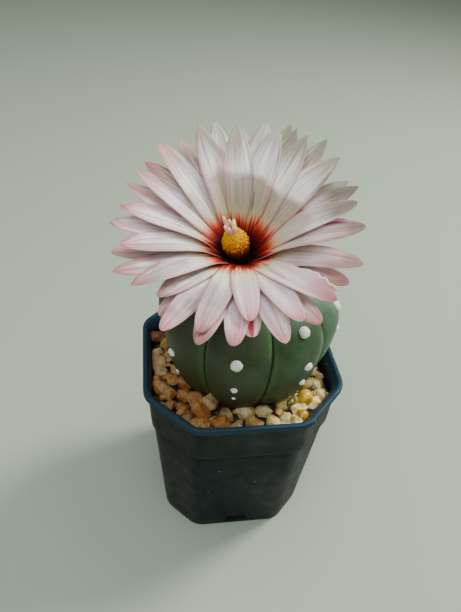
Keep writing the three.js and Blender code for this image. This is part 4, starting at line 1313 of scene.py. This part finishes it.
def tube_scales():
    """Pointed scales in rows, each a blade that leans out from the tube and is channelled by square laws.

    A blade's width falls to its point by the root of a power. Those at the front are shorter.
    """
    draw = np.random.default_rng(31)
    along = np.sin(np.linspace(0, np.pi / 2, 9))[:, None]
    flat = np.linspace(-1, 1, 7)
    across = np.concatenate([flat, flat[::-1]])[None]
    face = np.repeat([1.0, -1.0], len(flat))[None]
    shapes = []
    places = []
    for row, (height, count, length, width) in enumerate(SCALE_ROWS):
        for k in range(count):
            azimuth = (k + row / 2) * 360 / count + draw.uniform(-3, 3)
            front = 0.5 + 0.5 * math.cos(math.radians(azimuth))
            size = length * draw.uniform(0.85, 1.1) * (1 - 0.62 * front * (row > 1))
            half = width / 2 * (0.55 + 0.9 * along) * np.sqrt(1 - along ** 1.6) + 0.04
            level = height + size * along
            out = radius_at(level, TUBE_OUTLINE) - 0.25 + 0.55 * along ** 2 + 0.12 * half
            lifted = out - 0.25 * half * across ** 2 + face * 0.11 * (1.2 - across ** 2)
            shapes.append(tube(spin(together(across * half, -lifted, level), azimuth)))
            places.append(np.repeat(along.ravel(), across.shape[1]))
    points, faces = gather(shapes)
    return (on_bloom(points), faces), np.concatenate(places)


def tube_hairs(count):
    """Soft wool between the scales: hairs in drawn places, each along a parabola."""
    draw = np.random.default_rng(37)
    height = draw.uniform(-TUBE_DEPTH + 0.8, TUBE_RIM - 0.4, count)
    turn = draw.uniform(0, 2 * np.pi, count)
    outward = together(np.cos(turn), np.sin(turn), 0)
    root = outward * (radius_at(height, TUBE_OUTLINE) - 0.1)[:, None] + together(0, 0, height)
    heading = outward * 0.7 + [0, 0, 0.8] + draw.normal(0, 0.4, (count, 3))
    curl = draw.normal(0, 0.5, (count, 3)) + outward * 0.3
    rise = np.linspace(0, 1, 5)[None, :, None]
    length = draw.uniform(*TUBE_HAIR_LENGTH, count)[:, None, None]
    paths = root[:, None] + length * (rise * heading[:, None] + rise ** 2 * curl[:, None] * 0.6)
    points, faces = strands(paths, np.broadcast_to(np.linspace(*TUBE_HAIR_RADII, 5), (count, 5)), 3)
    return on_bloom(points), faces


def filaments(count):
    """Paths and skins of thin stalks, set round by the golden angle, that follow the bundle's outline."""
    draw = np.random.default_rng(41)
    order = np.linspace(0, 1, count)
    turn = np.arange(count) * np.pi * (3 - math.sqrt(5))
    top = mix(0.3, BUNDLE_TOP - 0.7, order ** 0.8) + draw.uniform(-0.4, 0.4, count)
    share = np.sqrt(np.clip(1.08 - 0.8 * order ** 3, 0.3, 1)) * draw.uniform(0.96, 1.1, count)
    rise = np.linspace(0, 1, 7)[None]
    level = mix(BUNDLE_FOOT + 0.2, top[:, None], rise)
    radius = radius_at(level, BUNDLE_OUTLINE) * share[:, None] + 0.35 * rise ** 5
    angle = turn[:, None] + 0.25 * rise
    paths = together(radius * np.cos(angle), radius * np.sin(angle), level)
    return paths, strands(paths, np.broadcast_to(np.linspace(*STALK_RADII, 7), (count, 7)), 4)


def anthers(tips, headings):
    """A small six-sided ellipsoid on each stalk, lengthwise along it."""
    draw = np.random.default_rng(43)
    grain = sphere(np.radians([-70, -30, 15, 60])[:, None], full_turn(6))
    heading = unit(headings + draw.normal(0, 0.45, headings.shape))
    side = unit(np.cross(heading, [0.3, 0.5, 0.81]))
    axes = np.stack([side, np.cross(heading, side), heading], axis=1)
    girth = draw.uniform(*ANTHER_RADIUS, len(tips))
    length = draw.uniform(*ANTHER_REACH, len(tips))
    size = together(girth, girth, length)
    return tubes(tips[:, None, None] + (grain * size[:, None, None]) @ axes[:, None])


def stamen_shapes(count):
    """Stalks, anthers and a core, with each point's height as a share of the bundle's.

    The share counts a little more on the anthers and much less on the core, which makes the core dark as
    painted shade inside the bundle.
    """
    paths, stalks = filaments(count)
    heads = anthers(paths[:, -1], paths[:, -1] - paths[:, -2])
    levels = np.linspace(BUNDLE_FOOT, BUNDLE_TOP - 3.4, 9)
    # A core of painted shade that fills the bundle between the stalks
    shade_core = turned(np.column_stack([radius_at(levels, BUNDLE_OUTLINE) * SHADE_CORE_SHARE, levels]), 24)
    shapes = [stalks, heads, shade_core]
    points, faces = gather(shapes)
    sizes = [len(shape[0]) for shape in shapes]
    rise = np.clip((points[:, 2] - BUNDLE_FOOT) / (BUNDLE_TOP + 0.6 - BUNDLE_FOOT), 0, 1)
    rise = (rise + np.repeat([0, 0.06, 0], sizes)) * np.repeat([1, 1, 0.55], sizes)
    return (on_bundle(points), faces), np.clip(rise, 0, 1)


def stigma_shape():
    """The style and its lobes, with each point's place along its lobe.

    A lobe's lean falls evenly as it rises, and its girth keeps up until a fourth power closes it.
    """
    rise = np.linspace(0, 1, 12)
    column = together(0, 0, np.linspace(BUNDLE_FOOT, BUNDLE_TOP - 1.6, 8))
    shapes = [strands(column[None], np.full((1, 8), STYLE_RADIUS), 12)]
    shares = [np.zeros(len(shapes[0][0]))]
    girth = LOBE_RADIUS * np.sqrt(np.clip(1.02 - (2 * np.clip(rise - 0.5, 0, 1)) ** 4, 0.02, 1))
    for turn, lean, length in LOBES:
        angle = math.radians(lean) * (1 - 0.55 * rise)
        step = length / (len(rise) - 1)
        out = 0.75 + np.cumsum(np.sin(angle)) * step
        up = BUNDLE_TOP - 2.4 + np.cumsum(np.cos(angle)) * step
        path = together(out, 0.12 * np.sin(4 * rise + turn), up)
        points, faces = strands(path[None], girth[None], 12)
        shapes.append((spin(points, turn), faces))
        shares.append(np.repeat(rise, 12))
    points, faces = gather(shapes)
    return (on_bundle(points), faces), np.concatenate(shares)


# Settings that a user would change

class PotSettings(PropertyGroup):
    plastic: FloatVectorProperty(name="Plastic", description="Colour of the pot", subtype="COLOR",
                                 default=(0.0030, 0.0072, 0.0085), min=0.0, max=1.0)


class BodySettings(PropertyGroup):
    skin: FloatVectorProperty(name="Skin", description="Colour of the upper skin", subtype="COLOR",
                              default=(0.033, 0.074, 0.029), min=0.0, max=1.0)
    skin_left_and_shade: FloatVectorProperty(name="Left skin", description="Colour of the upper skin at the left",
                                   subtype="COLOR", default=(0.034, 0.042, 0.016), min=0.0, max=1.0)
    skin_low: FloatVectorProperty(name="Lower skin", description="Colour of the older skin near the gravel",
                                  subtype="COLOR", default=(0.042, 0.048, 0.018), min=0.0, max=1.0)
    hairs: IntProperty(name="Hairs", description="Hairs on each areole", default=80, min=0, max=300)


class BloomSettings(PropertyGroup):
    petal_width: FloatProperty(name="Petal width", description="Widest part of a petal", unit="LENGTH",
                               default=7.7 * MM, min=3 * MM, max=12 * MM)
    petal_thickness: FloatProperty(name="Petal thickness", description="Thickness along the midrib",
                                   unit="LENGTH", default=0.45 * MM, min=0.2 * MM, max=1.2 * MM)
    petal: FloatVectorProperty(name="Petal", description="Colour of the outer half of a petal",
                               subtype="COLOR", default=(0.80, 0.69, 0.68), min=0.0, max=1.0)
    blush: FloatVectorProperty(name="Blush", description="Colour of the edges and tips", subtype="COLOR",
                               default=(0.63, 0.27, 0.31), min=0.0, max=1.0)
    stamens: IntProperty(name="Stamens", description="How many stamens", default=340, min=40, max=600)


class GravelSettings(PropertyGroup):
    small_stones: IntProperty(name="Small stones", description="Stones that fill the gaps", default=170,
                              min=0, max=800)


class StageSettings(PropertyGroup):
    ground: FloatVectorProperty(name="Ground", description="Colour of the floor", subtype="COLOR",
                                default=(0.29, 0.345, 0.275), min=0.0, max=1.0)
    reach: FloatProperty(name="Reach", description="Half width of the floor", unit="LENGTH", default=3.0)


class PlantSettings(PropertyGroup):
    pot: PointerProperty(type=PotSettings)
    body: PointerProperty(type=BodySettings)
    bloom: PointerProperty(type=BloomSettings)
    gravel: PointerProperty(type=GravelSettings)
    stage: PointerProperty(type=StageSettings)


# Operators

class STARCACTUS_OT_stage(Operator):
    """Lay the pale floor, hang the soft lights and set the camera"""
    bl_idname = "starcactus.stage"
    bl_label = "Set Stage"

    def execute(self, context):
        settings = context.scene.star_cactus.stage
        corners = np.array([[-1, -1, 0], [1, -1, 0], [1, 1, 0], [-1, 1, 0]]) * settings.reach / MM
        floor = new_object("floor", (corners, [np.array([[0, 1, 2, 3]])]))
        floor.data.materials.append(pale_ground(settings))
        for lamp in LAMPS:
            self.add_lamp(context, *lamp)
        world = bpy.data.worlds.new("soft_sky")
        world.use_nodes = True
        sky = world.node_tree.nodes["Background"]
        sky.inputs["Color"].default_value = SKY_COLOUR
        sky.inputs["Strength"].default_value = SKY_STRENGTH
        context.scene.world = world
        self.add_camera(context)
        return {"FINISHED"}

    def add_lamp(self, context, name, place, size, power, colour):
        data = bpy.data.lights.new(name, "AREA")
        data.shape = "DISK"
        data.size = size
        data.energy = power
        data.color = colour
        lamp = bpy.data.objects.new(name, data)
        aim = Vector(LAMP_AIM) - Vector(place)
        lamp.location = place
        lamp.rotation_euler = aim.to_track_quat("-Z", "Y").to_euler()
        context.scene.collection.objects.link(lamp)

    def add_camera(self, context):
        """Looks along a heading counted from +Y toward -X and a pitch below the horizon, then rolls."""
        heading = math.radians(CAMERA_HEADING)
        pitch = math.radians(CAMERA_PITCH)
        level = math.cos(pitch)
        forward = Vector((-math.sin(heading) * level, math.cos(heading) * level, -math.sin(pitch)))
        right = Vector((math.cos(heading), math.sin(heading), 0))
        up = right.cross(forward)
        turn = Matrix((right, up, -forward)).transposed() @ Matrix.Rotation(math.radians(CAMERA_ROLL), 3, "Z")
        data = bpy.data.cameras.new("camera")
        data.sensor_fit = "VERTICAL"
        data.sensor_height = SENSOR
        data.lens = CAMERA_LENS
        data.clip_start = 0.01
        camera = bpy.data.objects.new("camera", data)
        camera.matrix_world = Matrix.Translation(CAMERA_PLACE) @ turn.to_4x4()
        context.scene.collection.objects.link(camera)
        context.scene.camera = camera


class STARCACTUS_OT_pot(Operator):
    """Mould the eight-sided pot with its drain openings"""
    bl_idname = "starcactus.pot"
    bl_label = "Mould Pot"

    def execute(self, context):
        finish = moulded_plastic(context.scene.star_cactus.pot)
        pot = add_piece("moulded_pot", pot_shape(), finish, "pot_plastic", ["pot"])
        cutters = [slot_cutter(90 * side) for side in range(4)]
        cutters += [hole_cutter(45 + 90 * side) for side in range(4)]
        cut_out(pot, cutters)
        pot.data.shade_smooth()
        pot.data.set_sharp_from_angle(angle=math.radians(PLASTIC_CREASE))
        return {"FINISHED"}


class STARCACTUS_OT_soil(Operator):
    """Give the soil its crumbly finish"""
    bl_idname = "starcactus.soil"
    bl_label = "Fill Soil"

    def execute(self, context):
        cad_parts["potting_soil"].material_slots[0].material = crumbly_soil()
        return {"FINISHED"}


class STARCACTUS_OT_gravel(Operator):
    """Strew the stones over a bed of dark fines"""
    bl_idname = "starcactus.gravel"
    bl_label = "Strew Gravel"

    def execute(self, context):
        shapes = main_stones() + small_stones(context.scene.star_cactus.gravel.small_stones)
        add_piece("gravel_stones", gather(shapes), broken_stone(), "gravel", ["gravel_dressing"],
                  crease=STONE_CREASE, tint=stone_colours(shapes))
        add_piece("gravel_fines", gravel_bed(), crumbly_soil(), "soil")
        return {"FINISHED"}


class STARCACTUS_OT_beads(Operator):
    """Sink the coated fertiliser beads in the gravel"""
    bl_idname = "starcactus.beads"
    bl_label = "Place Beads"

    def execute(self, context):
        for number, (name, radius, place, shade) in enumerate(BEADS):
            add_piece(f"coated_bead_{name}", bead(radius, place, number), resin_coat(f"resin_{name}", shade),
                      f"bead_{name}", [f"fertiliser_bead_{name}"])
        return {"FINISHED"}


class STARCACTUS_OT_body(Operator):
    """Grow the ribbed body and the wool on its areoles"""
    bl_idname = "starcactus.body"
    bl_label = "Grow Body"

    def execute(self, context):
        settings = context.scene.star_cactus.body
        shape, groove = body_shape()
        add_piece("ribbed_body", shape, waxy_skin(settings), "cactus_skin", ["cactus_body"], groove=groove)
        wool = felted_wool("areole_wool", AREOLE_WOOL, AREOLE_SHADE)
        add_piece("areole_felt", wool_cushions(), wool, "tube_wool")
        add_piece("areole_hairs", wool_hairs(settings.hairs), wool, "tube_wool")
        return {"FINISHED"}


class STARCACTUS_OT_tube(Operator):
    """Grow the scaly, woolly flower tube"""
    bl_idname = "starcactus.tube"
    bl_label = "Grow Flower Tube"

    def execute(self, context):
        add_piece("tube_skin", turned_cup(TUBE_WALL), tube_skin(), "tube_wool", ["flower_tube"])
        shape, along = tube_scales()
        add_piece("tube_scales", shape, scale_skin(), "tube_wool", along=along)
        wool = felted_wool("tube_wool", TUBE_WOOL, TUBE_SHADE)
        add_piece("tube_hairs", tube_hairs(TUBE_HAIRS), wool, "tube_wool")
        return {"FINISHED"}


class STARCACTUS_OT_petals(Operator):
    """Open the petals in three whorls round their cup"""
    bl_idname = "starcactus.petals"
    bl_label = "Open Petals"

    def execute(self, context):
        settings = context.scene.star_cactus.bloom
        shape, layers = petal_shapes(settings)
        add_piece("open_petals", shape, petal_skin(settings), "petal", ["petals"], **layers)
        add_piece("petal_cup", turned_cup(CUP_WALL), crimson_cup(), "petal")
        return {"FINISHED"}


class STARCACTUS_OT_stamens(Operator):
    """Raise the bundle of stamens"""
    bl_idname = "starcactus.stamens"
    bl_label = "Raise Stamens"

    def execute(self, context):
        shape, rise = stamen_shapes(context.scene.star_cactus.bloom.stamens)
        add_piece("golden_stamens", shape, stamen_skin(), "anther", ["stamens"], rise=rise)
        return {"FINISHED"}


class STARCACTUS_OT_stigma(Operator):
    """Raise the style with its lobes"""
    bl_idname = "starcactus.stigma"
    bl_label = "Raise Stigma"

    def execute(self, context):
        shape, rise = stigma_shape()
        add_piece("lobed_stigma", shape, stigma_skin(), "stigma", ["style_and_stigma"], rise=rise)
        return {"FINISHED"}


class STARCACTUS_PT_panel(Panel):
    """Lists the plant's settings and the steps that make it"""
    bl_label = "Potted Star Cactus"
    bl_space_type = "VIEW_3D"
    bl_region_type = "UI"
    bl_category = "Plant"

    def draw(self, context):
        plant = context.scene.star_cactus
        for group in (plant.pot, plant.body, plant.bloom, plant.gravel, plant.stage):
            box = self.layout.box()
            for name in group.__annotations__:
                box.prop(group, name)
        for step in STEPS:
            self.layout.operator(step.bl_idname)


STEPS = [
    STARCACTUS_OT_stage, STARCACTUS_OT_pot, STARCACTUS_OT_soil, STARCACTUS_OT_gravel, STARCACTUS_OT_beads,
    STARCACTUS_OT_body, STARCACTUS_OT_tube, STARCACTUS_OT_petals, STARCACTUS_OT_stamens, STARCACTUS_OT_stigma,
]
GROUPS = [PotSettings, BodySettings, BloomSettings, GravelSettings, StageSettings, PlantSettings]


def register():
    for each in GROUPS + STEPS + [STARCACTUS_PT_panel]:
        bpy.utils.register_class(each)
    bpy.types.Scene.star_cactus = PointerProperty(type=PlantSettings)


def unregister():
    del bpy.types.Scene.star_cactus
    for each in reversed(GROUPS + STEPS + [STARCACTUS_PT_panel]):
        bpy.utils.unregister_class(each)


def main():
    register()
    for step in STEPS:
        group, name = step.bl_idname.split(".")
        getattr(getattr(bpy.ops, group), name)()


if __name__ == "__main__":
    main()
